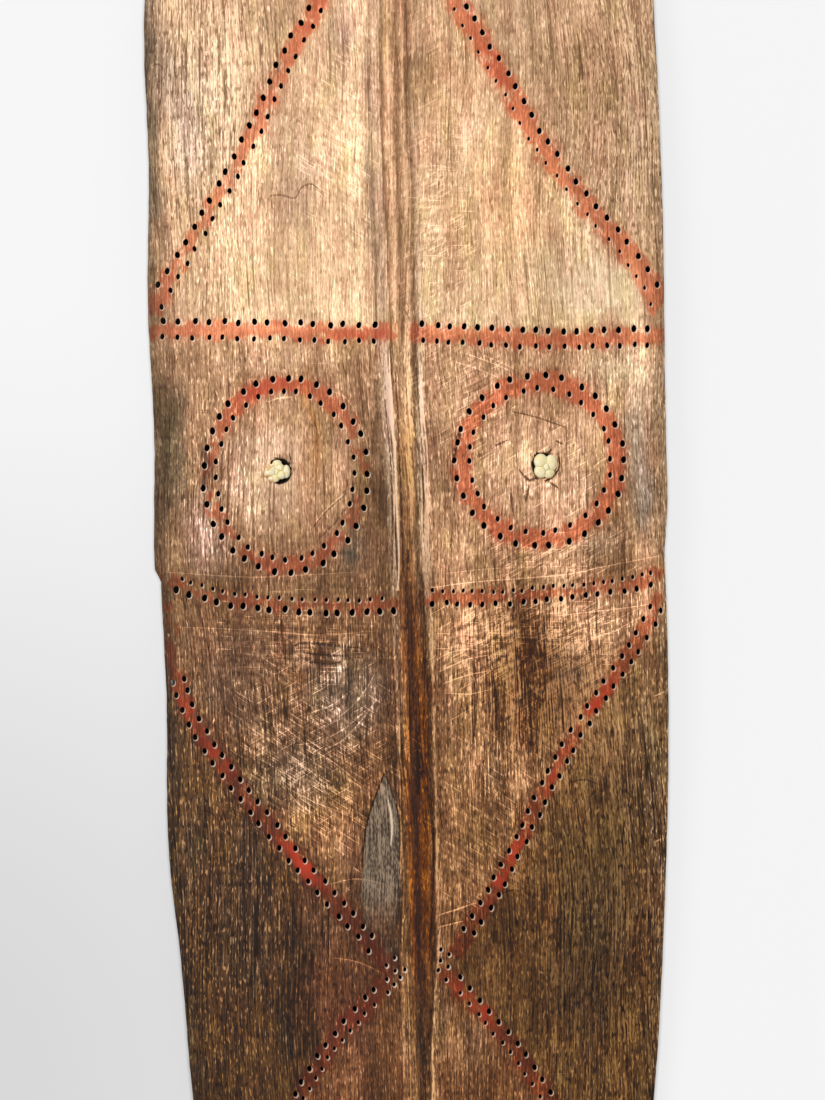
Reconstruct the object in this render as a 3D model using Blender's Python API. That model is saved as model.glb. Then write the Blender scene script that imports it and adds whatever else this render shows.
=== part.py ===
"""A long plank shield with a raised rib, drilled double rows, two ringed eyes and a lashed hand grip.

The shield lies face up on the corners of its two ends. X runs across it, +Y is its top end, Z is up.
All sizes are in metres.
"""

import math

import bmesh
import bpy
from mathutils import Vector

# Board
LENGTH = 1.200
WIDTH = 0.338
BOARD_THICKNESS = 0.009
SIDE_DROP = 0.034  # how far the side edges lie below the middle
SECTION_POWER = 1.3  # 1 would be a plain V, 2 a round section
BOW = 0.026  # how far the ends lie below the middle of the length
CORNER_WEAR = 0.003  # depth of the flat spot that each corner rests on
EDGE_EASE = 0.0015  # worn-off front arris along the sides

# Outline
WIDEST_Y = 0.080
END_TAPER = 0.046  # narrowing of each half at the bottom end
TAPER_POWER = 3
END_ARCH = 0.075  # length of the rounded end
END_ARCH_POWER = 2.2
# Side -> depth, length and crest of the slow waviness of that edge
EDGE_WAVES = {-1: (0.0022, 0.175, 0.108), 1: (0.0012, 0.300, 0.170)}
# Side -> where the split-off edge starts, how quickly it steps in, its depth, and where it dies out
EDGE_LOSSES = {-1: (-0.066, 0.008, 0.0042, 0.180), 1: (-0.030, 0.030, 0.0030, 0.180)}

# Rib: share of the half length, centre, width of the top, and the left and right flanks
RIB_HEIGHT = 0.007
RIB_CROWN = 0.0008
RIB_STATIONS = (
    (-1.000, 0.0000, 0.0080, 0.0100, 0.0100),
    (-0.665, 0.0010, 0.0075, 0.0160, 0.0160),
    (-0.535, 0.0020, 0.0120, 0.0085, 0.0045),
    (-0.415, 0.0014, 0.0165, 0.0050, 0.0022),
    (-0.255, 0.0017, 0.0215, 0.0020, 0.0016),
    (-0.100, -0.0005, 0.0180, 0.0052, 0.0020),
    (0.000, -0.0020, 0.0140, 0.0060, 0.0040),
    (0.120, -0.0047, 0.0130, 0.0075, 0.0052),
    (0.245, -0.0042, 0.0120, 0.0090, 0.0075),
    (0.500, -0.0065, 0.0155, 0.0070, 0.0070),
    (1.000, -0.0070, 0.0120, 0.0070, 0.0070),
)

# Drilled holes: width and height of a large, a middle and a small one
LARGE = (0.0042, 0.0056)
MIDDLE = (0.0034, 0.0048)
SMALL = (0.0025, 0.0036)
HOLE_DEPTH = 0.0050
HOLE_SPACE = 0.0009  # least wood between two holes
HOLE_WANDER = 0.0007  # the hand driller's error

# Double rows: distance between the rows, pitch and hole size of the row on the left and of the one on the
# right of the direction of travel, and the points passed, as shares of the half width and the half length
DOUBLE_ROWS = {
    "crossing_left": (
        0.0060, (0.0070, SMALL), (0.0072, SMALL),
        ((-0.126, -0.528), (-0.130, -0.552), (-0.132, -0.580)),
    ),
    "crossing_right": (
        0.0060, (0.0070, SMALL), (0.0074, SMALL),
        ((0.095, -0.525), (0.092, -0.550), (0.087, -0.581)),
    ),
    "upper_left": (
        0.0084, (0.0108, LARGE), (0.0108, MIDDLE),
        ((-0.975, 0.176), (-0.910, 0.206), (-0.821, 0.246), (-0.604, 0.350), (-0.419, 0.451),
         (-0.343, 0.484), (-0.130, 0.600)),
    ),
    "upper_right": (
        0.0086, (0.0104, SMALL), (0.0104, LARGE),
        ((0.975, 0.165), (0.939, 0.190), (0.847, 0.228), (0.731, 0.266), (0.615, 0.308),
         (0.501, 0.356), (0.396, 0.411), (0.252, 0.481), (0.060, 0.592)),
    ),
    "top_leg_left": (
        0.0090, (0.0110, MIDDLE), (0.0110, MIDDLE),
        ((-0.125, 0.640), (-0.400, 0.765), (-0.940, 0.925)),
    ),
    "top_leg_right": (
        0.0090, (0.0110, MIDDLE), (0.0110, MIDDLE),
        ((0.055, 0.635), (0.380, 0.760), (0.940, 0.920)),
    ),
    "brow_left": (
        0.0104, (0.0098, LARGE), (0.0098, MIDDLE),
        ((-0.954, 0.152), (-0.700, 0.148), (-0.449, 0.145), (-0.218, 0.140), (-0.088, 0.140)),
    ),
    "brow_right": (
        0.0104, (0.0092, LARGE), (0.0092, MIDDLE),
        ((0.042, 0.139), (0.356, 0.133), (0.568, 0.130), (0.782, 0.131), (0.966, 0.131)),
    ),
    "cheek_left": (
        0.0078, (0.0075, SMALL), (0.0088, LARGE),
        ((-0.940, -0.125), (-0.863, -0.133), (-0.707, -0.144), (-0.475, -0.151), (-0.282, -0.154),
         (-0.066, -0.153)),
    ),
    "cheek_right": (
        0.0078, (0.0066, SMALL), (0.0083, MIDDLE),
        ((0.062, -0.146), (0.343, -0.148), (0.568, -0.144), (0.763, -0.140), (0.901, -0.134),
         (0.964, -0.129)),
    ),
    "lower_left": (
        0.0080, (0.0096, MIDDLE), (0.0098, MIDDLE),
        ((-0.950, -0.225), (-0.926, -0.250), (-0.893, -0.272), (-0.840, -0.297), (-0.760, -0.330),
         (-0.678, -0.358), (-0.507, -0.419), (-0.328, -0.478), (-0.177, -0.526)),
    ),
    "lower_right": (
        0.0074, (0.0097, MIDDLE), (0.0097, MIDDLE),
        ((0.966, -0.160), (0.934, -0.176), (0.811, -0.227), (0.641, -0.292), (0.518, -0.351),
         (0.398, -0.415), (0.273, -0.477), (0.165, -0.520)),
    ),
    "bottom_leg_left": (
        0.0066, (0.0080, SMALL), (0.0096, MIDDLE),
        ((-0.170, -0.567), (-0.205, -0.578), (-0.341, -0.615), (-0.488, -0.666), (-0.940, -0.835)),
    ),
    "bottom_leg_right": (
        0.0072, (0.0096, MIDDLE), (0.0086, SMALL),
        ((0.130, -0.557), (0.181, -0.573), (0.301, -0.611), (0.482, -0.673), (0.940, -0.850)),
    ),
}

# Eyes: ring centre as seen from the tie, half width and half height of the ring, outer and inner holes
EYE_ROW_GAP = 0.0086
EYES = {
    -1: ((0.0047, -0.0027), (0.0493, 0.0590), 33, 32),
    1: ((-0.0035, 0.0030), (0.0505, 0.0512), 30, 28),
}

# Ties and their holes
TIE_SPREAD = 0.1735
TIE_MIDDLE = (0.0010, -0.0039)
TIE_BORE = 0.0110
TIE_CLEARANCE = 0.0003
TIE_SIDES = 12
MOUTH_WIDTH = 0.0185
MOUTH_DEPTH = 0.0040
MOUTH_SHIFT = 0.0013  # the mouths lie off the ties, towards the rib
KNOT_WIDTH = 0.0158
KNOT_RISE = 0.0032
KNOT_LOBES = 4
KNOT_LOBE_DEPTH = 0.0009
BACK_KNOT_WIDTH = 0.0180
BACK_KNOT_HEIGHT = 0.0060

# Hand grip
GRIP_OVERHANG = 0.0160  # past each tie
GRIP_END_WIDTH = 0.0270
GRIP_END_THICKNESS = 0.0090
GRIP_HAND_WIDTH = 0.0200
GRIP_HAND_THICKNESS = 0.0150
GRIP_FLOOR_CLEARANCE = 0.0040
GRIP_SEAT_LENGTH = 0.0310  # of the flat end that bears on the board
GRIP_BEND_POWER = 4
GRIP_BEND_STEPS = 14

# Mesh steps
ROW_COUNT = 20
FIELD_STEPS = (0.22, 0.45, 0.68, 0.87)
BACK_STEPS = (-1.0, -0.94, -0.62, -0.31, 0.0, 0.31, 0.62, 0.94, 1.0)
END_ROWS = (0.93, 0.97)
PATH_STEPS = 12

HALF_LENGTH = LENGTH / 2
CORNER_Y = HALF_LENGTH - END_ARCH
CROWN_Z = SIDE_DROP + BOW * (CORNER_Y / HALF_LENGTH) ** 2 + BOARD_THICKNESS - CORNER_WEAR


# Shape of the board

def edge_loss(side, y):
    """How much of this edge has split away at y: it steps in quickly and dies out slowly."""
    start, step_length, depth, run_out = EDGE_LOSSES[side]
    below = start - y
    if below <= 0:
        return 0.0
    if below < step_length:
        return depth * below / step_length
    return depth * max(0.0, 1 - (below - step_length) / run_out)


def half_width(side, y):
    """Distance from the centre line to the left (-1) or right (+1) edge, before the end is rounded."""
    taper = END_TAPER * (abs(y - WIDEST_Y) / (HALF_LENGTH + WIDEST_Y)) ** TAPER_POWER
    depth, length, crest = EDGE_WAVES[side]
    wave = depth * (1 - math.cos(2 * math.pi * (y - crest) / length)) / 2
    return WIDTH / 2 - taper - wave - edge_loss(side, y)


def end_y(share):
    """Reach of the rounded end at this share of the half width."""
    return CORNER_Y + END_ARCH * (1 - min(1.0, share) ** END_ARCH_POWER) ** (1 / END_ARCH_POWER)


def front_z(share, y):
    """Height of the front without the rib, at a share of the half width."""
    return CROWN_Z - SIDE_DROP * share ** SECTION_POWER - BOW * (y / HALF_LENGTH) ** 2


def width_share(x, y):
    """Which share of the half width the point (x, y) is at, also in the rounded ends."""
    side = 1 if x >= 0 else -1
    share = 0.0
    for _ in range(4):
        share = min(1.0, abs(x) / half_width(side, CORNER_Y * y / end_y(share)))
    return share


def surface_z(x, y):
    return front_z(width_share(x, y), y)


def back_z(x, y):
    """Height of the back, which is flat across between its columns of vertices."""
    share = width_share(x, y)
    steps = [step for step in BACK_STEPS if step >= 0]
    for low, high in zip(steps, steps[1:]):
        if share <= high:
            break
    t = (share - low) / (high - low)
    level = front_z(low, y) + (front_z(high, y) - front_z(low, y)) * t
    return max(0.0, level - BOARD_THICKNESS)


def rib_rise(x, y):
    """How far the rib stands above the field at (x, y)."""
    centre, half_top, left, right = rib_at(y)
    outside = abs(x - centre) - half_top
    return RIB_HEIGHT * max(0.0, min(1.0, 1 - outside / (left if x < centre else right)))


def rib_at(y):
    """Centre, half width of the top, left flank and right flank of the rib at y."""
    share = max(-1.0, min(1.0, y / HALF_LENGTH))
    for low, high in zip(RIB_STATIONS, RIB_STATIONS[1:]):
        if share <= high[0]:
            break
    t = (share - low[0]) / (high[0] - low[0])
    t = t * t * (3 - 2 * t)
    centre, top, left, right = (a + (b - a) * t for a, b in zip(low[1:], high[1:]))
    return centre, top / 2, left, right


def board_point(share, side, row, rise=0.0):
    """A point of the front: share of the half width, row from -1 at the bottom to 1 at the top."""
    x = side * share * half_width(side, row * CORNER_Y)
    y = row * end_y(share)
    return Vector((x, y, front_z(share, y) + rise))


def front_row(row):
    """One row of the front from the left edge to the right edge, over the rib."""
    centre, half_top, left, right = rib_at(row * HALF_LENGTH)
    crest = RIB_HEIGHT + RIB_CROWN
    rib = ((centre - half_top - left, 0.0), (centre - half_top, RIB_HEIGHT), (centre, crest),
           (centre + half_top, RIB_HEIGHT), (centre + half_top + right, 0.0))
    middle = []
    for x, rise in rib:
        side = 1 if x >= 0 else -1
        share = abs(x) / half_width(side, row * CORNER_Y)
        middle.append(board_point(share, side, row, rise))
    halves = {}
    for side, foot in ((-1, rib[0][0]), (1, rib[-1][0])):
        width = half_width(side, row * CORNER_Y)
        foot_share = abs(foot) / width
        shares = [foot_share + (1 - foot_share) * step for step in FIELD_STEPS]
        points = [board_point(share, side, row) for share in (*shares, 1 - 2 * EDGE_EASE / width)]
        points.append(board_point(1.0, side, row, -EDGE_EASE))
        halves[side] = points
    return halves[-1][::-1] + middle + halves[1]


def back_row(row):
    """One row of the back from the left edge to the right edge."""
    points = []
    for step in BACK_STEPS:
        point = board_point(abs(step), 1 if step >= 0 else -1, row)
        point.z = max(0.0, point.z - BOARD_THICKNESS)
        points.append(point)
    return points


def board_rows():
    """Row positions: even along the length, closer at the ends, and on both ends of each edge step."""
    steps = [start - offset for start, length, _, _ in EDGE_LOSSES.values() for offset in (0.0, length)]
    fixed = sorted({-1.0, 1.0, *END_ROWS, *(-row for row in END_ROWS), *(y / CORNER_Y for y in steps)})
    room = 0.6 * 2 / ROW_COUNT
    even = (-1 + 2 * i / ROW_COUNT for i in range(1, ROW_COUNT))
    return sorted(fixed + [row for row in even if all(abs(row - other) > room for other in fixed)])


def stitch(bm, first, second):
    """Triangles between two lines of vertices that start and end at the same sides."""
    i = j = 0
    while i < len(first) - 1 or j < len(second) - 1:
        next_first = first[i + 1].co.x if i < len(first) - 1 else math.inf
        next_second = second[j + 1].co.x if j < len(second) - 1 else math.inf
        if next_first <= next_second:
            bm.faces.new((first[i], first[i + 1], second[j]))
            i += 1
        else:
            bm.faces.new((first[i], second[j + 1], second[j]))
            j += 1


# Drilled pattern

def scatter(index, salt):
    """A fixed, random-looking number from -1 to 1."""
    value = math.sin(index * 12.9898 + salt * 78.233) * 43758.5453
    return 2 * (value - math.floor(value)) - 1


def smooth_path(points):
    """A Catmull-Rom curve through the points, as shares turned into real places on the board."""
    placed = []
    for across, along in points:
        y = along * HALF_LENGTH
        placed.append(Vector((across * half_width(1 if across >= 0 else -1, y), y)))
    padded = [2 * placed[0] - placed[1], *placed, 2 * placed[-1] - placed[-2]]
    path = [placed[0]]
    for a, b, c, d in zip(padded, padded[1:], padded[2:], padded[3:]):
        for step in range(1, PATH_STEPS + 1):
            t = step / PATH_STEPS
            path.append(0.5 * (2 * b + (c - a) * t + (2 * a - 5 * b + 4 * c - d) * t ** 2
                               + (3 * b - a - 3 * c + d) * t ** 3))
    return path


def along_path(path, distance):
    """Place and direction at a distance along the path, or None past its end."""
    for start, end in zip(path, path[1:]):
        length = (end - start).length
        if distance <= length:
            direction = (end - start) / length
            return start + direction * distance, direction
        distance -= length
    return None


def double_row_holes():
    """Centre and size of each hole beside the painted lines."""
    for salt, (gap, left_row, right_row, points) in enumerate(DOUBLE_ROWS.values()):
        path = smooth_path(points)
        for side, (pitch, size) in ((1, left_row), (-1, right_row)):
            index = 0
            while place := along_path(path, pitch * (index + 0.3 + 0.12 * scatter(index, salt + side))):
                point, direction = place
                offset = side * gap / 2 + HOLE_WANDER * scatter(index, salt + 20 * side)
                yield point + offset * Vector((-direction.y, direction.x)), size
                index += 1


def eye_holes():
    for side, (shift, radii, outer, inner) in EYES.items():
        centre = tie_place(side) + Vector(shift)
        for row, count, size in ((0.5, outer, LARGE), (-0.5, inner, MIDDLE)):
            for index in range(count):
                angle = 2 * math.pi * (index + 0.15 * scatter(index, side + row)) / count
                reach = [radius + row * EYE_ROW_GAP + HOLE_WANDER * scatter(index, side * row)
                         for radius in radii]
                yield centre + Vector((reach[0] * math.cos(angle), reach[1] * math.sin(angle))), size


def hole_fits(point, size, kept):
    """A hole stays clear of the rib's top, of the edges and of the holes before it."""
    centre, half_top, _, _ = rib_at(point.y)
    room = size[0] / 2 + HOLE_SPACE
    on_rib = abs(point.x - centre) < half_top + room
    past_edge = abs(point.x) + room > half_width(1 if point.x >= 0 else -1, point.y)
    crowded = any(math.hypot((point.x - other.x) / ((size[0] + other_size[0]) / 2 + HOLE_SPACE),
                             (point.y - other.y) / ((size[1] + other_size[1]) / 2 + HOLE_SPACE)) < 1
                  for other, other_size in kept)
    return not (on_rib or past_edge or crowded)


def pattern_holes():
    kept = []
    for point, size in (*eye_holes(), *double_row_holes()):
        if hole_fits(point, size, kept):
            kept.append((point, size))
    return kept


def add_pit(bm, point, size):
    """A four-sided pyramid, point down, that leaves a drilled hole's dark mark in the front."""
    lift = HOLE_DEPTH / 4
    surface = surface_z(point.x, point.y) + rib_rise(point.x, point.y)
    reach = (1 + lift / HOLE_DEPTH) / 2
    rim = [bm.verts.new((point.x + a * size[0] * reach, point.y + b * size[1] * reach, surface + lift))
           for a, b in ((1, 0), (0, 1), (-1, 0), (0, -1))]
    tip = bm.verts.new((point.x, point.y, surface - HOLE_DEPTH))
    bm.faces.new(rim)
    for a, b in zip(rim, rim[1:] + rim[:1]):
        bm.faces.new((b, a, tip))


# Meshes

def ring(bm, centre, radii, z, sides, lobes=0, lobe_depth=0.0):
    """A closed loop of vertices round a vertical axis, with optional lobes."""
    loop = []
    for i in range(sides):
        angle = 2 * math.pi * i / sides
        pull = lobe_depth * (1 - math.cos(lobes * angle)) / 2
        loop.append(bm.verts.new((centre[0] + (radii[0] - pull) * math.cos(angle),
                                  centre[1] + (radii[1] - pull) * math.sin(angle), z)))
    return loop


def join_rings(bm, rings):
    """A closed skin over rings stacked upwards."""
    for lower, upper in zip(rings, rings[1:]):
        count = len(lower)
        for i in range(count):
            j = (i + 1) % count
            bm.faces.new((lower[i], lower[j], upper[j], upper[i]))
    bm.faces.new(rings[0][::-1])
    bm.faces.new(rings[-1])


def make_object(name, bm, material=None):
    bmesh.ops.triangulate(bm, faces=bm.faces)
    mesh = bpy.data.meshes.new(name)
    bm.to_mesh(mesh)
    bm.free()
    obj = bpy.data.objects.new(name, mesh)
    bpy.context.scene.collection.objects.link(obj)
    if material:
        mesh.materials.append(material)
    return obj


def make_cutter(name, bm, target):
    cutter = make_object(name, bm)
    cutter.hide_render = True
    cutter.display_type = "WIRE"
    cut = target.modifiers.new(name, "BOOLEAN")
    cut.operation = "DIFFERENCE"
    cut.solver = "EXACT"
    cut.object = cutter


def make_material(name, colour, roughness):
    material = bpy.data.materials.new(name)
    material.use_nodes = True
    shader = material.node_tree.nodes["Principled BSDF"]
    shader.inputs["Base Color"].default_value = (*colour, 1)
    shader.inputs["Roughness"].default_value = roughness
    shader.inputs["Metallic"].default_value = 0.0
    return material


def tie_place(side):
    return Vector((TIE_MIDDLE[0] + side * TIE_SPREAD / 2, TIE_MIDDLE[1]))


def make_board(material):
    bm = bmesh.new()
    rows = board_rows()
    front = [[bm.verts.new(point) for point in front_row(row)] for row in rows]
    back = [[bm.verts.new(point) for point in back_row(row)] for row in rows]
    for lines, turn in ((front, 1), (back, -1)):
        for low, high in zip(lines, lines[1:]):
            for i in range(len(low) - 1):
                bm.faces.new((low[i], low[i + 1], high[i + 1], high[i])[::turn])
    for end, turn in ((0, -1), (-1, 1)):
        for i in range(len(rows) - 1):
            bm.faces.new((front[i][end], front[i + 1][end], back[i + 1][end], back[i][end])[::turn])
    stitch(bm, back[0], front[0])
    stitch(bm, front[-1], back[-1])
    bmesh.ops.recalc_face_normals(bm, faces=bm.faces)
    board = make_object("board", bm, material)

    cuts = bmesh.new()
    for point, size in pattern_holes():
        add_pit(cuts, point, size)
    for side in (-1, 1):
        add_tie_hole(cuts, side)
    make_cutter("board_cuts", cuts, board)


def add_tie_hole(bm, side):
    """The bore of a tie, opening into a wider mouth at the front."""
    place = tie_place(side)
    surface = surface_z(*place)
    slope_room = MOUTH_WIDTH / 2
    bore = (TIE_BORE / 2, TIE_BORE / 2)
    mouth = [MOUTH_WIDTH / 2 + (MOUTH_WIDTH - TIE_BORE) / 2 * slope_room / MOUTH_DEPTH] * 2
    shift = MOUTH_SHIFT * (1 + slope_room / MOUTH_DEPTH)
    join_rings(bm, (
        ring(bm, place, bore, surface - 2 * BOARD_THICKNESS, TIE_SIDES),
        ring(bm, place, bore, surface - MOUTH_DEPTH, TIE_SIDES),
        ring(bm, (place.x - side * shift, place.y), mouth, surface + slope_room, TIE_SIDES),
    ))


def grip_reach():
    """Distances from the grip's middle to its ends and to where its flat seats begin."""
    end_x = TIE_SPREAD / 2 + GRIP_OVERHANG
    return end_x, end_x - GRIP_SEAT_LENGTH


def grip_top(x):
    """Height of the grip's upper side: seated on the board at both ends, bent away from it between."""
    reach = abs(x - TIE_MIDDLE[0])
    _, seat_x = grip_reach()
    middle = GRIP_FLOOR_CLEARANCE + GRIP_HAND_THICKNESS
    if reach >= seat_x:
        return back_z(x, TIE_MIDDLE[1]) - TIE_CLEARANCE
    side = 1 if x >= TIE_MIDDLE[0] else -1
    seat = back_z(TIE_MIDDLE[0] + side * seat_x, TIE_MIDDLE[1]) - TIE_CLEARANCE
    return middle + (seat - middle) * (reach / seat_x) ** GRIP_BEND_POWER


def grip_section(x):
    """Width and thickness of the grip at x: flat wide ends, a rounder middle."""
    _, seat_x = grip_reach()
    t = min(1.0, abs(x - TIE_MIDDLE[0]) / seat_x) ** 2
    return (GRIP_HAND_WIDTH + (GRIP_END_WIDTH - GRIP_HAND_WIDTH) * t,
            GRIP_HAND_THICKNESS + (GRIP_END_THICKNESS - GRIP_HAND_THICKNESS) * t)


def make_grip(material):
    bm = bmesh.new()
    end_x, seat_x = grip_reach()
    bend = [seat_x * (2 * step / GRIP_BEND_STEPS - 1) for step in range(GRIP_BEND_STEPS + 1)]
    sections = []
    for station in (-end_x, -(end_x + seat_x) / 2, *bend, (end_x + seat_x) / 2, end_x):
        x = TIE_MIDDLE[0] + station
        width, thickness = grip_section(x)
        top = grip_top(x)
        corner = thickness / 3
        outline = ((-width / 2 + corner, 0), (width / 2 - corner, 0), (width / 2, -corner),
                   (width / 2, -thickness + corner), (width / 2 - corner, -thickness),
                   (-width / 2 + corner, -thickness), (-width / 2, -thickness + corner),
                   (-width / 2, -corner))
        sections.append([bm.verts.new((x, TIE_MIDDLE[1] + y, top + z)) for y, z in outline])
    join_rings(bm, sections)
    bmesh.ops.recalc_face_normals(bm, faces=bm.faces)
    grip = make_object("grip_bar", bm, material)

    bores = bmesh.new()
    for side in (-1, 1):
        place = tie_place(side)
        top = back_z(*place)
        radii = (TIE_BORE / 2, TIE_BORE / 2)
        join_rings(bores, [ring(bores, place, radii, z, TIE_SIDES)
                           for z in (top - 3 * GRIP_END_THICKNESS, top + GRIP_END_THICKNESS)])
    make_cutter("grip_bores", bores, grip)


def make_tie(name, side, material):
    """A lashing: lobed knot in the mouth, shank through board and grip, flatter knot behind."""
    place = tie_place(side)
    surface = surface_z(*place)
    shank = TIE_BORE / 2 - TIE_CLEARANCE
    knot = KNOT_WIDTH / 2
    outer_reach = abs(place.x) + BACK_KNOT_WIDTH / 2
    behind = min(grip_top(side * outer_reach), grip_top(place.x)) - GRIP_END_THICKNESS - TIE_CLEARANCE
    slack = BACK_KNOT_HEIGHT / 5
    back_knot = BACK_KNOT_WIDTH / 2
    levels = (
        (0.62 * back_knot, behind - BACK_KNOT_HEIGHT),
        (0.95 * back_knot, behind - 0.7 * BACK_KNOT_HEIGHT),
        (back_knot, behind - 0.35 * BACK_KNOT_HEIGHT),
        (0.8 * back_knot, behind - slack / 2),
        (shank, behind),
        (shank, surface - MOUTH_DEPTH),
        (0.82 * knot, surface - 0.25 * MOUTH_DEPTH),
        (knot, surface + 0.25 * KNOT_RISE),
        (0.86 * knot, surface + 0.75 * KNOT_RISE),
        (0.45 * knot, surface + KNOT_RISE),
    )
    bm = bmesh.new()
    rings = []
    for radius, z in levels:
        lobed = radius > shank and z > surface - MOUTH_DEPTH
        rings.append(ring(bm, place, (radius, radius), z, TIE_SIDES,
                          KNOT_LOBES, KNOT_LOBE_DEPTH if lobed else 0.0))
    join_rings(bm, rings)
    make_object(name, bm, material)


def main():
    for obj in list(bpy.data.objects):
        bpy.data.objects.remove(obj)
    carved_wood = make_material("carved_wood", (0.34, 0.20, 0.11), 0.70)
    grip_wood = make_material("grip_wood", (0.22, 0.12, 0.06), 0.55)
    cane = make_material("cane", (0.68, 0.58, 0.40), 0.60)
    make_board(carved_wood)
    make_grip(grip_wood)
    make_tie("cane_tie_left", -1, cane)
    make_tie("cane_tie_right", 1, cane)


main()
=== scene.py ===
"""The looks of a long carved plank shield that lies face up, with its painted lines, eyes, knots and grip.

Everything is in metres, in the frame of the solids: X runs across the shield, +Y is its top end, Z is up.
"""

import math

import bpy
import numpy as np
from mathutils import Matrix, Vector, geometry


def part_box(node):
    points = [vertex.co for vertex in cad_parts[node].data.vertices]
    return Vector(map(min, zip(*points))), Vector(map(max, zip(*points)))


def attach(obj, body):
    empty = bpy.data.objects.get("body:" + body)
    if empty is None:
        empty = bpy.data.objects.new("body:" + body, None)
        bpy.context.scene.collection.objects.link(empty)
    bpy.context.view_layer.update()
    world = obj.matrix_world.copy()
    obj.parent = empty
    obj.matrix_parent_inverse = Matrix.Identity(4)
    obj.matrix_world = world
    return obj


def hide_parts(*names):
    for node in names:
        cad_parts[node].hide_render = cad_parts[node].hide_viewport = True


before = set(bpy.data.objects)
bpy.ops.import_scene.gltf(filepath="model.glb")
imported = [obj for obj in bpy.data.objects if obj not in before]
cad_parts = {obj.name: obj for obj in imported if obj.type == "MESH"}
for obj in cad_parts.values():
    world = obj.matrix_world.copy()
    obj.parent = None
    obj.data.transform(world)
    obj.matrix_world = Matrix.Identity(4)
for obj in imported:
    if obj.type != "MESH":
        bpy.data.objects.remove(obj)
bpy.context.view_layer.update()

# The board's form, as its solid has it
LENGTH = 1.200
WIDTH = 0.338
BOARD_THICKNESS = 0.009
SIDE_DROP = 0.034
SECTION_POWER = 1.3
BOW = 0.026
CORNER_WEAR = 0.003
WIDEST_Y = 0.080
END_TAPER = 0.046
TAPER_POWER = 3
END_ARCH = 0.075
END_ARCH_POWER = 2.2
# Waves of the left (-1) and right (1) edge: depth, length and y of a crest. Wood that is worn off there:
# y where it starts, length over which it grows, width, and length over which it ends again
EDGE_WAVES = {-1: (0.0022, 0.175, 0.108), 1: (0.0012, 0.300, 0.170)}
EDGE_LOSSES = {-1: (-0.066, 0.008, 0.0042, 0.180), 1: (-0.030, 0.030, 0.0030, 0.180)}
RIB_HEIGHT = 0.007
RIB_CROWN = 0.0008
# Along the rib: place as a share of the half length, centre, width of the top, left flank, right flank
RIB_STATIONS = np.array((
    (-1.000, 0.0000, 0.0080, 0.0100, 0.0100),
    (-0.665, 0.0010, 0.0075, 0.0160, 0.0160),
    (-0.535, 0.0020, 0.0120, 0.0085, 0.0045),
    (-0.415, 0.0014, 0.0165, 0.0050, 0.0022),
    (-0.255, 0.0017, 0.0215, 0.0020, 0.0016),
    (-0.100, -0.0005, 0.0180, 0.0052, 0.0020),
    (0.000, -0.0020, 0.0140, 0.0060, 0.0040),
    (0.120, -0.0047, 0.0130, 0.0075, 0.0052),
    (0.245, -0.0042, 0.0120, 0.0090, 0.0075),
    (0.500, -0.0065, 0.0155, 0.0070, 0.0070),
    (1.000, -0.0070, 0.0120, 0.0070, 0.0070),
))
HALF_LENGTH = LENGTH / 2
CORNER_Y = HALF_LENGTH - END_ARCH
CROWN_Z = SIDE_DROP + BOW * (CORNER_Y / HALF_LENGTH) ** 2 + BOARD_THICKNESS - CORNER_WEAR

# Ties and their holes
TIE_PLACES = [Vector((sum(c.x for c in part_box(name)) / 2, sum(c.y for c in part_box(name)) / 2))
              for name in ("cane_tie_left", "cane_tie_right")]
TIE_BORE = 0.0110
MOUTH_WIDTH = 0.0170
MOUTH_DEPTH = 0.0040
MOUTH_SHIFT = 0.0013
MOUTH_SIDES = 28
MOUTH_SEEDS = (40, 42)  # of the unevenness of their rims
TIE_CLEARANCE = 0.0003
TIE_Y = -0.0039
TIE_MIDDLE_X = 0.0010
TIE_SPREAD = 0.1735

# Knots: the front one's lobes, each with its place from the tie's middle, its radii and how high it rises
KNOT_SIDES = 96
KNOT_LOBES = (
    (((-0.0045, 0.0006), (0.0038, 0.0044), 0.0034), ((-0.0003, 0.0050), (0.0032, 0.0026), 0.0026),
     ((0.0015, 0.0022), (0.0031, 0.0030), 0.0036), ((0.0056, -0.0002), (0.0028, 0.0044), 0.0030),
     ((0.0023, -0.0020), (0.0034, 0.0032), 0.0038), ((-0.0025, -0.0044), (0.0038, 0.0028), 0.0029),
     ((-0.0002, 0.0000), (0.0030, 0.0030), 0.0028)),
    (((-0.0030, 0.0028), (0.0046, 0.0050), 0.0040), ((0.0037, 0.0014), (0.0040, 0.0056), 0.0038),
     ((-0.0030, -0.0036), (0.0045, 0.0046), 0.0036), ((0.0018, -0.0046), (0.0040, 0.0038), 0.0031),
     ((0.0004, -0.0010), (0.0036, 0.0036), 0.0036)),
)
KNOT_RINGS = 30
KNOT_SINK = 0.0006  # how far the front knot's foot lies below the board's surface
KNOT_NECK = ((0.94, 0.0010), (0.80, 0.0022))  # shares of its outline, and depths below its foot
# How much higher the top lobe may lie than the next one before the painted shade of the fold between them
# fades out
FOLD_WIDTH = 0.0007
WRAP_DEPTH = 0.07  # of the back knot's wraps, as a share of its reach
BACK_KNOT_WIDTH = 0.0180
BACK_KNOT_HEIGHT = 0.0060
# Shares of its half width and of its height, from its foot on
BACK_KNOT_PROFILE = ((0.80, 0.08), (0.93, 0.16), (1.0, 0.32), (0.99, 0.50), (0.93, 0.68), (0.80, 0.83),
                     (0.6, 0.94), (0.35, 0.985), (0.12, 1.0))

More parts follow.
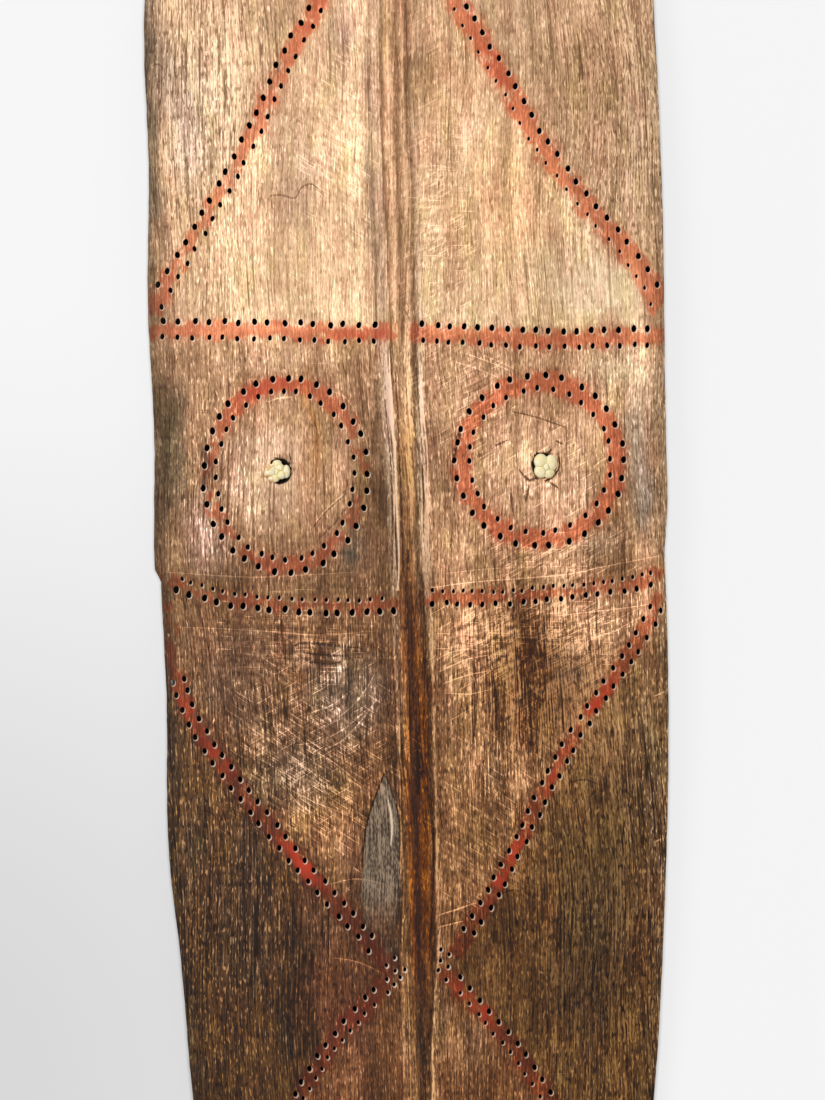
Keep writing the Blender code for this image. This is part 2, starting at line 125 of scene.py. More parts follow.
# Grip
GRIP_OVERHANG = 0.0160  # past each tie
GRIP_END_WIDTH = 0.0270
GRIP_END_THICKNESS = 0.0090
GRIP_HAND_WIDTH = 0.0200
GRIP_HAND_THICKNESS = 0.0150
GRIP_FLOOR_CLEARANCE = 0.0040
GRIP_SEAT_LENGTH = 0.0310
GRIP_BEND_POWER = 4
GRIP_END_ROUNDING = 0.0030
GRIP_END_SHRINKAGE = 0.20  # how much narrower its very end is
GRIP_SECTION_POWER = 1.1  # of its section in the hand, an oval, and how much less it is at the squarer seats
GRIP_SQUARING = 0.45
GRIP_WEAR = 0.012
GRIP_SIDES = 40
GRIP_STATIONS = 120

# Drilled holes
PIT_DEPTH = 0.0050  # of the pits that stand for the holes in the solid
PIT_TOLERANCE = 0.0003  # how far a pit's tip may be from that depth
PIT_SHARES = ((-0.30, 0.94), (0.05, 0.90), (0.12, 0.84))  # of a pit's size in the drilled holes, by y
HOLE_SIDES = 10
HOLE_SEED = 31  # of their unevenness
HOLE_TURN = 0.25  # how far a hole is turned, at most
HOLE_UNEVENNESS = 0.07
HOLE_LEAN = 0.0016  # how far a hole's far end lies to the upper left of its near end, at most
RIM_FLARE = 0.0005  # how far a hole's rim flares in front, at most
LEAST_FLARE = 0.0001
RIM_SINK = 0.6  # how deep the rim lies, as a share of its flare
RIM_SHIFT = 0.55  # how far the flare lies to the lower right, as a share of its width
HOLE_TAPER = 0.9  # size of a hole behind, as a share of its size in front

# Mesh steps
FRONT_STEP = 0.0030
BACK_STEP = 0.0096
OUTLINE_STEP = 0.0030
SIDE_SAMPLES, END_SAMPLES = 1400, 400  # of the outline, before it is divided into even steps
NICKS = ((0.00015, 0.009, 21), (0.0001, 0.0035, 22))  # of the edge: half depth, length, seed
GRID_SHAKE = 0.16  # how far the grid's points are shaken, as a share of its step
GRID_NOISE = 0.93  # of a feature of that shake to one step
RIB_ROUNDING = 0.0009
ROUNDED_SHARE = 0.35  # of a flank's width that the rounding of its arris or foot takes up, at most
SHARP_ANGLE = math.radians(50)
# Uneven surfaces: height, width and length of the waves, and their seed
FRONT_WAVES = ((0.00030, 0.022, 0.060, 3), (0.00012, 0.007, 0.025, 5))
BACK_WAVES = ((0.00035, 0.016, 0.040, 11),)
BACK_END_ROOM = 0.06  # length near both ends that has no such waves
SCOOP_RIDGES = ((0.00025, 0.0016, 0.020, 7),)
SEAM_INSET = 0.0009  # how far inside the edge the front and the back end
# Least distances of the loose points from the edge, the holes, the tie holes and the rib
FRONT_EDGE_ROOM = 0.0012
BACK_EDGE_ROOM = 0.0030
FRONT_HOLE_ROOM = 0.0007
BACK_HOLE_ROOM = 0.0015
MOUTH_ROOM = 0.0035
RIB_ROOM = 0.0025
RIB_END_ROOM = 0.0040
RIB_FOOT_ROOM = 0.0015
EDGE_WOOD = 0.0026  # least wood between a hole and the edge
# Inset and share of the thickness gone down, from the front's end round the edge to the back's
EDGE_PROFILE = ((0.0003, 0.05), (0.0, 0.14), (0.0, 0.40), (0.0001, 0.72), (0.0003, 0.93))

# Map of the board: width of the front's share, and where the strips of the edge begin
MAP_WIDTH = 0.38
MAP_SKIRT = 0.82
MAP_MARGIN = 0.01
MAP_STRIP = 0.03  # width of one strip
MAP_COLLARS = (0.92, 0.96)  # where the walls of the tie holes begin
MAP_COLLAR_LENGTH = 0.05
MAP_HOLE_SHARE = 0.15  # how small a hole's far end is drawn inside its rim

# Colours of the wood's material: a full dark line on white wood, grey wear where it is palest and darkest,
# the palest marks, the darkest marks (a tint), the strongest red, the painted highlight on a hole's rim and
# the white of the light seen through the holes, and the painted shade deep in a hole (a tint)
DARKENING = (0.42, 0.37, 0.31)
PALE_ASH = (0.34, 0.245, 0.16, 1)
DARK_ASH = (0.056, 0.037, 0.024, 1)
PALE_MARK = (0.80, 0.64, 0.47, 1)
DARK_MARK = (0.045, 0.030, 0.030)
VIVID_RED = (0.50, 0.040, 0.012, 1)
RIM_SHEEN = (0.54, 0.40, 0.30, 1)
RIM_HIGHLIGHT_WHITE = (0.74, 0.61, 0.50, 1)
HOLE_SHADE = (0.012, 0.008, 0.006)

# Colours along the board, from its bottom up, as they should look: outside the fields, along the edges, on
# the rib's top and flanks, and on the back. They darken from the top to the bottom partly in the wood's own
# colour and partly as painted light: a soft sheen over the upper part and shade over the lower one. The
# flanks' tones are partly painted light and shade too, paler or darker for the way light falls on them
PATINA_AND_SHADING = (
    (-0.41, (99, 64, 28)), (-0.28, (102, 65, 30)), (-0.20, (121, 81, 43)), (-0.10, (163, 119, 78)),
    (0.00, (187, 144, 104)), (0.10, (202, 159, 118)), (0.28, (211, 169, 129)),
)
LEFT_EDGE_TONES = (
    (-0.40, (68, 46, 22)), (-0.15, (96, 70, 40)), (0.00, (108, 82, 54)), (0.25, (84, 66, 48)),
)
RIGHT_EDGE_TONES = (
    (-0.40, (104, 71, 36)), (-0.15, (152, 114, 76)), (0.00, (174, 140, 106)), (0.25, (194, 158, 122)),
)
RIB_TONES = (
    (-0.38, (119, 78, 39)), (-0.30, (110, 54, 0)), (-0.12, (124, 66, 6)), (-0.05, (118, 76, 40)),
    (0.015, (176, 126, 80)), (0.06, (206, 160, 118)), (0.17, (210, 161, 119)), (0.28, (205, 155, 114)),
)
LEFT_FLANK_TONES = (
    (-0.38, (117, 78, 43)), (-0.20, (112, 76, 42)), (-0.03, (146, 116, 90)), (0.05, (154, 122, 96)),
    (0.09, (164, 130, 102)), (0.28, (214, 173, 138)),
)
RIGHT_FLANK_TONES = (
    (-0.38, (148, 104, 64)), (-0.15, (157, 111, 70)), (0.05, (208, 172, 136)), (0.28, (206, 158, 117)),
)
BACK_TONES = ((-0.40, (98, 72, 50)), (0.30, (142, 110, 80)))
EDGE_TONE_WIDTHS = (0.012, 0.009)  # of the strips of edge tone at the left and at the right
EDGE_TONE_STRENGTH = 0.85
# How strongly the grain shows, by y
CONTRAST = (
    (-0.42, 1.02), (-0.28, 1.02), (-0.18, 1.04), (-0.10, 0.95), (-0.06, 0.76), (0.07, 0.70), (0.09, 0.50),
    (0.30, 0.48),
)
BACK_CONTRAST = 0.4
# Where the grain shows less, in photo pixels: centre, reach, how much less
CALM = (
    (277, 475, 90, 100, 0.40), (605, 285, 90, 60, 0.5), (545, 470, 90, 90, 0.15), (570, 690, 120, 120, 0.30),
    (600, 880, 90, 150, 0.20), (300, 250, 80, 90, 0.2),
)

# Lines that run along the rib, in photo pixels: a row of the photo, then the left foot, the dark line at the
# left arris, a pale ridge, a hollow, a second ridge, the dark line at the right arris and the right foot.
# Their pale and dark streaks are partly the wood's own and partly painted light and shade: highlights on the
# ridges and shade along the arrises and in the hollow
RIB_LINES = (
    (20, 370, 380, 387, 396, 401, 405, 412), (120, 371, 381, 388, 398, 402, 407, 414),
    (170, 372, 383, 390, 399, 404, 411, 416), (230, 375, 387, 394, 400.5, 407.5, 413, 419),
    (330, 377, 390, 396, 402, 408, 414.5, 420), (440, 383, 394.5, 399, 404, 410, 415.5, 421.5),
    (560, 389, 397, 401, 406, 413, 417, 427), (690, 397, 402.5, 407, 412, 421, 428, 434.5),
    (810, 399, 406, 410, 415, 425, 433, 436), (950, 403, 411, 414.5, 418, 426, 434, 439),
    (1045, 405, 413, 417, 421, 427, 430, 433), (1100, 406, 414, 418, 421, 427, 430, 433),
)
# How dark the streaks, partly painted light and shade, are at those lines, numbered from 0 at the left foot
# to 6 at the right one
UPPER_RIB = (
    (-1.2, 0.0), (-0.3, 0.3), (-0.05, 0.9), (0.12, -0.2), (0.55, -0.4), (0.85, -0.2), (1.0, 1.5), (1.25, 0.8),
    (1.55, -0.2), (2.0, -0.9), (2.5, -0.1), (2.9, 1.1), (3.3, 0.5), (4.0, -1.0), (4.5, -0.3), (5.0, 0.9),
    (5.4, 0.2), (6.0, -1.0), (6.4, 0.2), (7.4, 0.0),
)
MIDDLE_RIB = (
    (-1.2, 0.4), (-0.2, 0.6), (0.0, 0.2), (0.2, -0.3), (0.40, -0.9), (0.72, -1.4), (0.88, -0.2), (1.05, 1.7),
    (1.4, 0.5), (2.0, 0.1), (2.6, 0.3), (3.2, -0.6), (4.2, -1.1), (4.6, 0.4), (5.0, 1.3), (5.4, 0.3),
    (5.9, -1.3), (6.3, -0.6), (6.8, 0.2), (7.4, 0.0),
)
LOWER_RIB = (
    (-1.2, 0.5), (-0.3, 0.7), (-0.05, -0.6), (0.2, -0.2), (0.4, 0.2), (0.7, 0.1), (1.2, -0.4), (2.0, 0.0),
    (2.8, 1.1), (3.2, 1.2), (3.7, 0.2), (4.4, 0.0), (5.0, 1.0), (5.4, 0.6), (5.9, -1.2), (6.3, -0.5),
    (7.4, 0.0),
)
OFF_RIB = -2  # the number that stands for all places of the back
# Heights between which the streaks of one part pass over into the next part's
RIB_PARTS = ((-0.105, -0.055, MIDDLE_RIB), (0.070, 0.085, UPPER_RIB))

# Fields between the painted lines: corners, softness of the edge, strength, colours from the bottom up, which
# darken towards the bottom partly as painted shade
FIELDS = (
    (((-0.165, 0.083), (-0.010, 0.080), (-0.010, -0.086), (-0.160, -0.074)),
     0.010, 0.8,
     ((-0.08, (163, 118, 81)), (-0.03, (183, 135, 97)), (0.05, (213, 163, 122)), (0.08, (222, 170, 127)))),
    (((0.004, 0.080), (0.167, 0.075), (0.163, -0.072), (0.008, -0.084)),
     0.010, 0.85,
     ((-0.08, (200, 147, 105)), (-0.03, (203, 153, 112)), (0.05, (211, 160, 119)), (0.08, (221, 169, 128)))),
    (((-0.162, 0.086), (-0.056, 0.290), (0.000, 0.390), (0.040, 0.290), (0.162, 0.082)),
     0.010, 0.9,
     ((0.08, (242, 201, 156)), (0.17, (242, 197, 153)), (0.30, (237, 194, 152)))),
    (((-0.156, -0.085), (-0.150, -0.138), (-0.075, -0.252), (0.000, -0.335), (0.062, -0.250),
      (0.158, -0.098)),
     0.014, 0.9,
     ((-0.33, (150, 100, 59)), (-0.24, (165, 114, 71)), (-0.16, (168, 118, 77)), (-0.08, (168, 120, 81)))),
    (((0.000, -0.310), (-0.073, -0.400), (-0.130, -0.500), (0.130, -0.505), (0.071, -0.402)),
     0.012, 0.9,
     ((-0.45, (127, 77, 40)), (-0.35, (140, 90, 49)))),
)

# Soft patches of colour: centre, reach, turn, colour, strength
WASHES = (
    ((-0.086, -0.004), (0.062, 0.074), 0.0, (227, 176, 135), 0.95),
    ((0.085, -0.002), (0.068, 0.066), 0.0, (229, 175, 133), 0.95),
    ((-0.158, 0.010), (0.026, 0.140), 0.0, (140, 106, 73), 0.9),
    ((-0.134, -0.045), (0.022, 0.044), 0.2, (237, 194, 170), 0.7),
    ((-0.024, -0.010), (0.018, 0.100), 0.0, (159, 115, 78), 0.8),
    ((-0.115, -0.125), (0.060, 0.045), 0.0, (144, 100, 66), 0.7),
    ((0.075, -0.140), (0.032, 0.075), 0.1, (127, 77, 34), 0.8),
    ((0.120, -0.100), (0.070, 0.030), 0.3, (219, 160, 116), 0.8),
    ((0.028, -0.105), (0.040, 0.030), 0.0, (208, 152, 105), 0.6),
    ((-0.128, 0.230), (0.040, 0.090), 0.0, (234, 198, 160), 0.6),
    ((-0.148, 0.110), (0.020, 0.060), 0.0, (196, 155, 119), 0.7),
    ((0.120, 0.108), (0.070, 0.030), -0.3, (252, 219, 173), 0.8),
    ((0.070, 0.165), (0.045, 0.090), 0.0, (247, 191, 137), 0.7),
    ((0.024, 0.245), (0.026, 0.110), 0.0, (213, 163, 120), 0.9),
    ((0.118, 0.262), (0.045, 0.080), 0.0, (203, 155, 114), 0.7),
    ((0.140, 0.170), (0.030, 0.080), 0.0, (213, 171, 132), 0.6),
    ((-0.070, 0.190), (0.026, 0.060), 0.1, (221, 178, 145), 0.6),
    ((-0.014, 0.030), (0.010, 0.060), 0.0, (237, 198, 160), 0.5),
    ((0.001, 0.012), (0.009, 0.044), 0.0, (252, 203, 131), 0.95),
    ((0.150, -0.020), (0.018, 0.060), 0.0, (168, 132, 99), 0.8),
    ((0.135, 0.060), (0.035, 0.040), 0.0, (229, 191, 151), 0.6),
    ((0.150, -0.210), (0.030, 0.090), 0.0, (142, 104, 62), 0.7),
)
# More of them, in photo pixels: centre, reach, turn, colour, strength, and in how many coats it is laid on
SMEARS = (
    (162, 60, 22, 110, 0, (150, 122, 100), 0.7, 1), (190, 150, 26, 60, 0, (222, 188, 158), 0.5, 1),
    (300, 195, 26, 70, 0, (216, 176, 146), 0.6, 1), (352, 170, 22, 120, 0, (244, 204, 158), 0.7, 1),
    (372, 150, 7, 200, 0, (206, 172, 146), 0.8, 1), (345, 40, 26, 50, 0, (206, 168, 140), 0.7, 1),
    (452, 230, 26, 90, 0, (240, 188, 138), 0.7, 1), (470, 80, 40, 60, 0, (220, 166, 120), 0.6, 1),
    (560, 270, 70, 40, 0, (244, 208, 166), 0.6, 1), (640, 120, 22, 110, 0, (190, 152, 120), 0.6, 1),
    (590, 60, 40, 60, 0, (184, 142, 104), 0.6, 1), (425, 60, 12, 60, 0, (176, 132, 100), 0.6, 1),
    (250, 470, 42, 62, 0, (216, 172, 140), 0.85, 1), (345, 450, 24, 60, 0, (182, 140, 104), 0.7, 1),
    (374, 500, 18, 66, 0, (134, 94, 54), 0.8, 1), (208, 540, 17, 34, 0.1, (232, 186, 160), 0.85, 1),
    (346, 553, 16, 18, 0, (112, 92, 70), 0.6, 1), (606, 372, 40, 26, 0, (228, 190, 148), 0.7, 1),
    (480, 566, 50, 20, 0, (170, 126, 86), 0.6, 1), (600, 545, 40, 30, 0, (150, 120, 92), 0.6, 1),
    (448, 370, 26, 34, 0, (196, 150, 110), 0.6, 1), (240, 680, 60, 60, 0, (166, 122, 92), 0.6, 1),
    (330, 690, 40, 60, 0, (140, 104, 78), 0.7, 1), (480, 650, 50, 40, 0, (184, 134, 92), 0.6, 1),
    (470, 760, 40, 60, 0, (160, 112, 72), 0.6, 1), (610, 620, 44, 24, -0.5, (212, 160, 118), 0.8, 1),
    (545, 720, 9, 60, 0, (150, 108, 60), 0.6, 1), (350, 870, 40, 60, 0.4, (164, 116, 84), 0.6, 1),
    (240, 930, 60, 110, 0, (104, 76, 52), 0.6, 1), (285, 1030, 12, 50, 0, (76, 56, 36), 0.8, 1),
    (350, 1040, 40, 60, 0, (138, 90, 60), 0.7, 1), (460, 870, 30, 60, 0, (166, 116, 72), 0.6, 1),
    (475, 1040, 40, 60, 0, (150, 106, 72), 0.6, 1), (625, 372, 26, 18, 0, (240, 208, 160), 0.8, 1),
    (649, 503, 15, 55, 0, (119, 100, 79), 0.83, 2), (660, 400, 10, 60, 0, (150, 128, 100), 0.6, 1),
    (173, 447, 22, 86, 0, (112, 90, 60), 0.8, 2), (300, 660, 30, 14, 0, (128, 96, 70), 0.7, 1),
    (250, 720, 40, 40, 0, (150, 118, 90), 0.6, 1), (320, 790, 44, 30, 0.5, (160, 124, 84), 0.6, 1),
    (250, 640, 60, 20, 0, (156, 114, 84), 0.6, 1), (186, 640, 16, 60, 0, (126, 92, 64), 0.6, 1),
    (190, 850, 24, 80, 0, (84, 66, 44), 0.6, 1), (250, 850, 26, 60, 0, (104, 76, 52), 0.6, 1),
    (650, 760, 18, 90, 0, (112, 88, 58), 0.6, 1), (560, 840, 30, 40, 0, (98, 70, 38), 0.6, 1),
    (515, 840, 14, 60, 0, (120, 76, 40), 0.6, 1), (448, 700, 20, 90, 0, (170, 124, 84), 0.7, 1),
    (500, 770, 16, 30, 0, (176, 132, 96), 0.6, 1), (385, 955, 14, 40, 0, (124, 98, 76), 0.6, 1),
    (600, 289, 58, 35, 0, (250, 216, 176), 0.63, 4), (270, 475, 59, 65, 0, (234, 192, 157), 0.55, 4),
    (545, 470, 72, 64, 0, (236, 185, 145), 0.77, 2), (290, 356, 60, 13, 0, (226, 178, 138), 0.7, 1),
    (600, 910, 60, 120, 0, (100, 72, 42), 0.5, 2), (220, 690, 40, 30, 0, (142, 108, 82), 0.6, 1),
    (535, 650, 20, 60, 0, (110, 68, 34), 0.5, 1), (240, 665, 60, 40, 0, (130, 94, 66), 0.4, 1),
    (658, 800, 12, 120, 0, (124, 96, 68), 0.6, 1), (641, 445, 23, 90, 0, (194, 170, 145), 0.45, 2),
    (345, 692, 47, 60, 0, (180, 143, 113), 0.63, 3), (290, 770, 75, 55, 0.45, (144, 113, 88), 0.55, 2),
    (405, 1040, 12, 60, 0, (150, 108, 76), 0.5, 1), (303, 452, 13, 80, 0, (233, 181, 134), 0.77, 2),
    (345, 505, 22, 40, 0, (170, 132, 92), 0.6, 1), (587, 983, 61, 90, 0, (67, 41, 17), 0.53, 4),
    (330, 930, 50, 60, 0.6, (140, 92, 64), 0.5, 1), (440, 1020, 12, 80, 0, (160, 118, 84), 0.5, 1),
    (187, 116, 33, 86, 0, (191, 160, 135), 0.55, 2), (600, 120, 50, 120, 0, (174, 130, 94), 0.5, 1),
    (537, 695, 72, 80, 0, (115, 73, 42), 0.49, 4), (437, 450, 17, 93, 0, (163, 121, 87), 0.6, 2),
    (345, 700, 52, 66, 0, (204, 166, 136), 0.7, 1), (280, 358, 110, 17, 0, (237, 188, 148), 0.65, 2),
    (182, 455, 12, 100, 0, (160, 130, 100), 0.5, 1), (340, 1000, 60, 75, 0, (139, 82, 51), 0.5, 2),
    (620, 790, 40, 110, 0, (96, 66, 38), 0.5, 1), (530, 690, 120, 120, 0, (138, 92, 50), 0.6, 1),
    (600, 850, 70, 150, 0, (74, 50, 18), 0.6, 1), (357, 480, 8, 55, 0, (122, 86, 34), 0.7, 1),
    (206, 465, 7, 37, 0, (94, 56, 44), 0.55, 2), (312, 430, 8, 110, 0, (227, 160, 97), 0.55, 2),
    (345, 548, 16, 14, 0, (78, 62, 50), 0.7, 1), (384, 350, 8, 60, 0, (184, 134, 104), 0.6, 1),
    (560, 840, 60, 90, 0, (96, 64, 26), 0.4, 1), (160, 470, 10, 90, 0, (120, 98, 74), 0.4, 1),
    (411, 345, 5, 60, 0, (214, 178, 142), 0.6, 1), (372, 480, 6, 70, 0, (112, 82, 38), 0.5, 1),
    (340, 1085, 60, 50, 0, (152, 96, 62), 0.5, 1), (470, 840, 40, 70, 0, (128, 86, 48), 0.5, 1),
    (600, 330, 60, 10, 0, (214, 160, 118), 0.3, 1), (300, 720, 60, 60, 0, (172, 128, 94), 0.5, 1),
)

# Painted lines: width, strength along the line, and the points passed, as shares of the half width and length
PAINT_LINES = {
    "upper_left": (0.0115, (0.95, 0.60, 0.35, 0.55, 0.85, 0.90), (
        (-0.975, 0.176), (-0.910, 0.206), (-0.821, 0.246), (-0.604, 0.350), (-0.419, 0.451), (-0.343, 0.484),
        (-0.130, 0.600))),
    "upper_right": (0.0125, (0.90, 0.95, 0.70, 0.75, 0.95, 0.95), (
        (0.975, 0.165), (0.939, 0.190), (0.847, 0.228), (0.731, 0.266), (0.615, 0.308), (0.501, 0.356),
        (0.396, 0.411), (0.252, 0.481), (0.060, 0.592))),
    "top_leg_left": (0.0108, (0.8, 0.8), (
        (-0.125, 0.640), (-0.400, 0.765), (-0.940, 0.925))),
    "top_leg_right": (0.0108, (0.8, 0.8), (
        (0.055, 0.635), (0.380, 0.760), (0.940, 0.920))),
    "brow_left": (0.0105, (0.80, 0.85, 0.80, 0.80, 0.95), (
        (-0.990, 0.150), (-0.700, 0.148), (-0.449, 0.145), (-0.218, 0.140), (-0.060, 0.140))),
    "brow_right": (0.0105, (0.95, 0.90, 0.85, 0.90), (
        (0.042, 0.139), (0.356, 0.133), (0.568, 0.130), (0.782, 0.131), (0.985, 0.131))),
    "cheek_left": (0.0105, (0.40, 0.50, 0.40, 0.50), (
        (-0.975, -0.120), (-0.863, -0.133), (-0.707, -0.144), (-0.475, -0.151), (-0.282, -0.154),
        (-0.090, -0.153))),
    "cheek_right": (0.0100, (0.60, 0.55, 0.45, 0.60), (
        (0.078, -0.146), (0.343, -0.148), (0.568, -0.144), (0.763, -0.140), (0.901, -0.134),
        (0.985, -0.127))),
    "left_strip": (0.0058, (0.90, 1.00, 1.00, 1.00), (
        (-0.990, -0.150), (-0.978, -0.195), (-0.955, -0.232), (-0.90, -0.262))),
    "lower_left": (0.0108, (0.0, 0.20, 0.85, 1.00, 1.00, 1.00, 1.00, 0.95, 0.90), (
        (-0.985, -0.150), (-0.970, -0.195), (-0.926, -0.250), (-0.840, -0.297), (-0.678, -0.358),
        (-0.507, -0.419), (-0.328, -0.478), (-0.130, -0.545))),
    "lower_right": (0.0094, (0.40, 0.55, 0.95, 0.60, 0.55, 0.80, 0.95, 0.60), (
        (0.985, -0.145), (0.934, -0.176), (0.811, -0.227), (0.641, -0.292), (0.518, -0.351), (0.398, -0.415),
        (0.273, -0.477), (0.100, -0.545))),
    "bottom_leg_left": (0.0105, (0.80, 0.95, 0.85), (
        (-0.130, -0.552), (-0.205, -0.578), (-0.341, -0.615), (-0.488, -0.666), (-0.970, -0.845))),
    "bottom_leg_right": (0.0105, (0.80, 0.95, 0.85), (
        (0.100, -0.548), (0.181, -0.573), (0.301, -0.611), (0.482, -0.673), (0.970, -0.860))),
}
NO_PAINT = -1.5  # the paint's value outside all of them
FRONT_DEPTH = 0.003  # how far below the plain front the looks of the back begin, and over what depth they do
FRONT_FADE = 0.002
UPPER_LEFT_Y = 0.11  # where the upper left part with its plainer holes begins, and over what length it does
UPPER_LEFT_FADE = 0.06
# Painted eye rings: centre from the tie, radii, width, strength from the right, anticlockwise
PAINT_RINGS = (
    ((0.0047, -0.0027), (0.0493, 0.0590), 0.0105,
     (0.0, 0.0, 0.85, 0.9, 1.0, 1.0, 0.75, 0.20, 0.12, 0.12, 0.35, 0.6, 0.8, 0.75, 0.35, 0.0, 0.0)),
    ((-0.0035, 0.0030), (0.0505, 0.0512), 0.0105, (0.90, 0.95, 1.0, 0.95, 1.0, 1.0, 1.0, 0.95, 0.90)),
)

# Areas of the finer features: centre, reach, turn, strength
AREAS = {
    "vivid_paint": (
        ((-0.075, -0.256), (0.030, 0.016), -0.9, 1.0), ((0.065, -0.255), (0.030, 0.016), 1.0, 0.8),
        ((-0.060, 0.290), (0.040, 0.060), 0.0, 0.35), ((0.060, 0.250), (0.040, 0.060), 0.0, 0.45),
        ((-0.100, 0.050), (0.040, 0.016), 0.0, 0.6), ((-0.030, 0.082), (0.040, 0.012), 0.0, 0.5),
        ((0.040, -0.350), (0.040, 0.030), 0.0, 0.6), ((0.121, -0.157), (0.014, 0.024), -0.5, 1.0),
        ((0.092, -0.205), (0.014, 0.034), -0.5, 0.5), ((0.050, -0.275), (0.016, 0.024), -0.5, 0.8),
        ((-0.080, 0.058), (0.030, 0.012), 0.0, 0.7), ((-0.151, -0.158), (0.014, 0.022), 0.4, 0.55),
        ((-0.132, -0.186), (0.014, 0.024), 0.5, 0.45),
    ),
    "rough_grain": (
        ((-0.140, 0.240), (0.075, 0.200), 0.0, 0.7), ((0.150, 0.220), (0.080, 0.200), 0.0, 0.6),
        ((-0.130, -0.300), (0.090, 0.200), 0.0, 0.6), ((0.130, -0.300), (0.090, 0.220), 0.0, 0.6),
        ((0.080, -0.150), (0.070, 0.100), 0.0, 0.6), ((-0.120, -0.010), (0.060, 0.110), 0.0, 0.3),
    ),
    "scratch_rising": (
        ((0.080, -0.120), (0.100, 0.080), 0.0, 1.0), ((0.020, 0.130), (0.040, 0.200), 0.0, 0.5),
        ((-0.060, -0.180), (0.080, 0.080), 0.0, 0.7), ((0.045, 0.030), (0.036, 0.070), 0.0, 0.8),
        ((0.090, -0.060), (0.090, 0.036), 0.0, 0.8), ((0.090, 0.000), (0.050, 0.050), 0.0, 0.4),
    ),
    "scratch_falling": (
        ((-0.070, -0.190), (0.090, 0.100), 0.0, 1.0), ((-0.040, 0.200), (0.050, 0.120), 0.0, 0.4),
        ((0.080, -0.170), (0.080, 0.080), 0.0, 0.5), ((0.050, -0.250), (0.060, 0.080), 0.0, 0.6),
    ),
    "scratch_level": (
        ((-0.080, -0.115), (0.090, 0.050), 0.0, 0.7), ((0.080, -0.115), (0.090, 0.030), 0.0, 0.9),
        ((0.090, -0.060), (0.080, 0.030), 0.0, 0.4), ((0.025, 0.180), (0.030, 0.100), 0.0, 0.5),
    ),
    "stain": (
        ((0.075, -0.140), (0.040, 0.080), 0.1, 1.0), ((-0.055, -0.125), (0.045, 0.030), 0.1, 0.8),
        ((-0.080, -0.370), (0.018, 0.080), 0.0, 0.8), ((-0.012, -0.200), (0.010, 0.040), 0.0, 0.6),
    ),
    "grey_wear": (
        ((-0.045, -0.145), (0.030, 0.035), 0.0, 0.55), ((-0.040, -0.055), (0.018, 0.022), 0.0, 0.6),
        ((0.100, -0.140), (0.020, 0.030), 0.0, 0.4),
    ),
}
PLAIN_GRAIN = 0.35  # how rough the grain is outside the areas of rough grain
# Scratches: the area they lie in, their turn, their bend, and a number that sets their noise apart
SCRATCHES = (
    ("scratch_rising", -1.12, 0.5, 0.7), ("scratch_falling", 0.95, -0.4, 2.9),
    ("scratch_level", 1.50, 0.6, 4.7),
)

MILLIMETRE = 0.001
PIXEL = 0.000645  # of the photo, on the crown's level
PHOTO_MIDDLE = (412.5, 550.0)
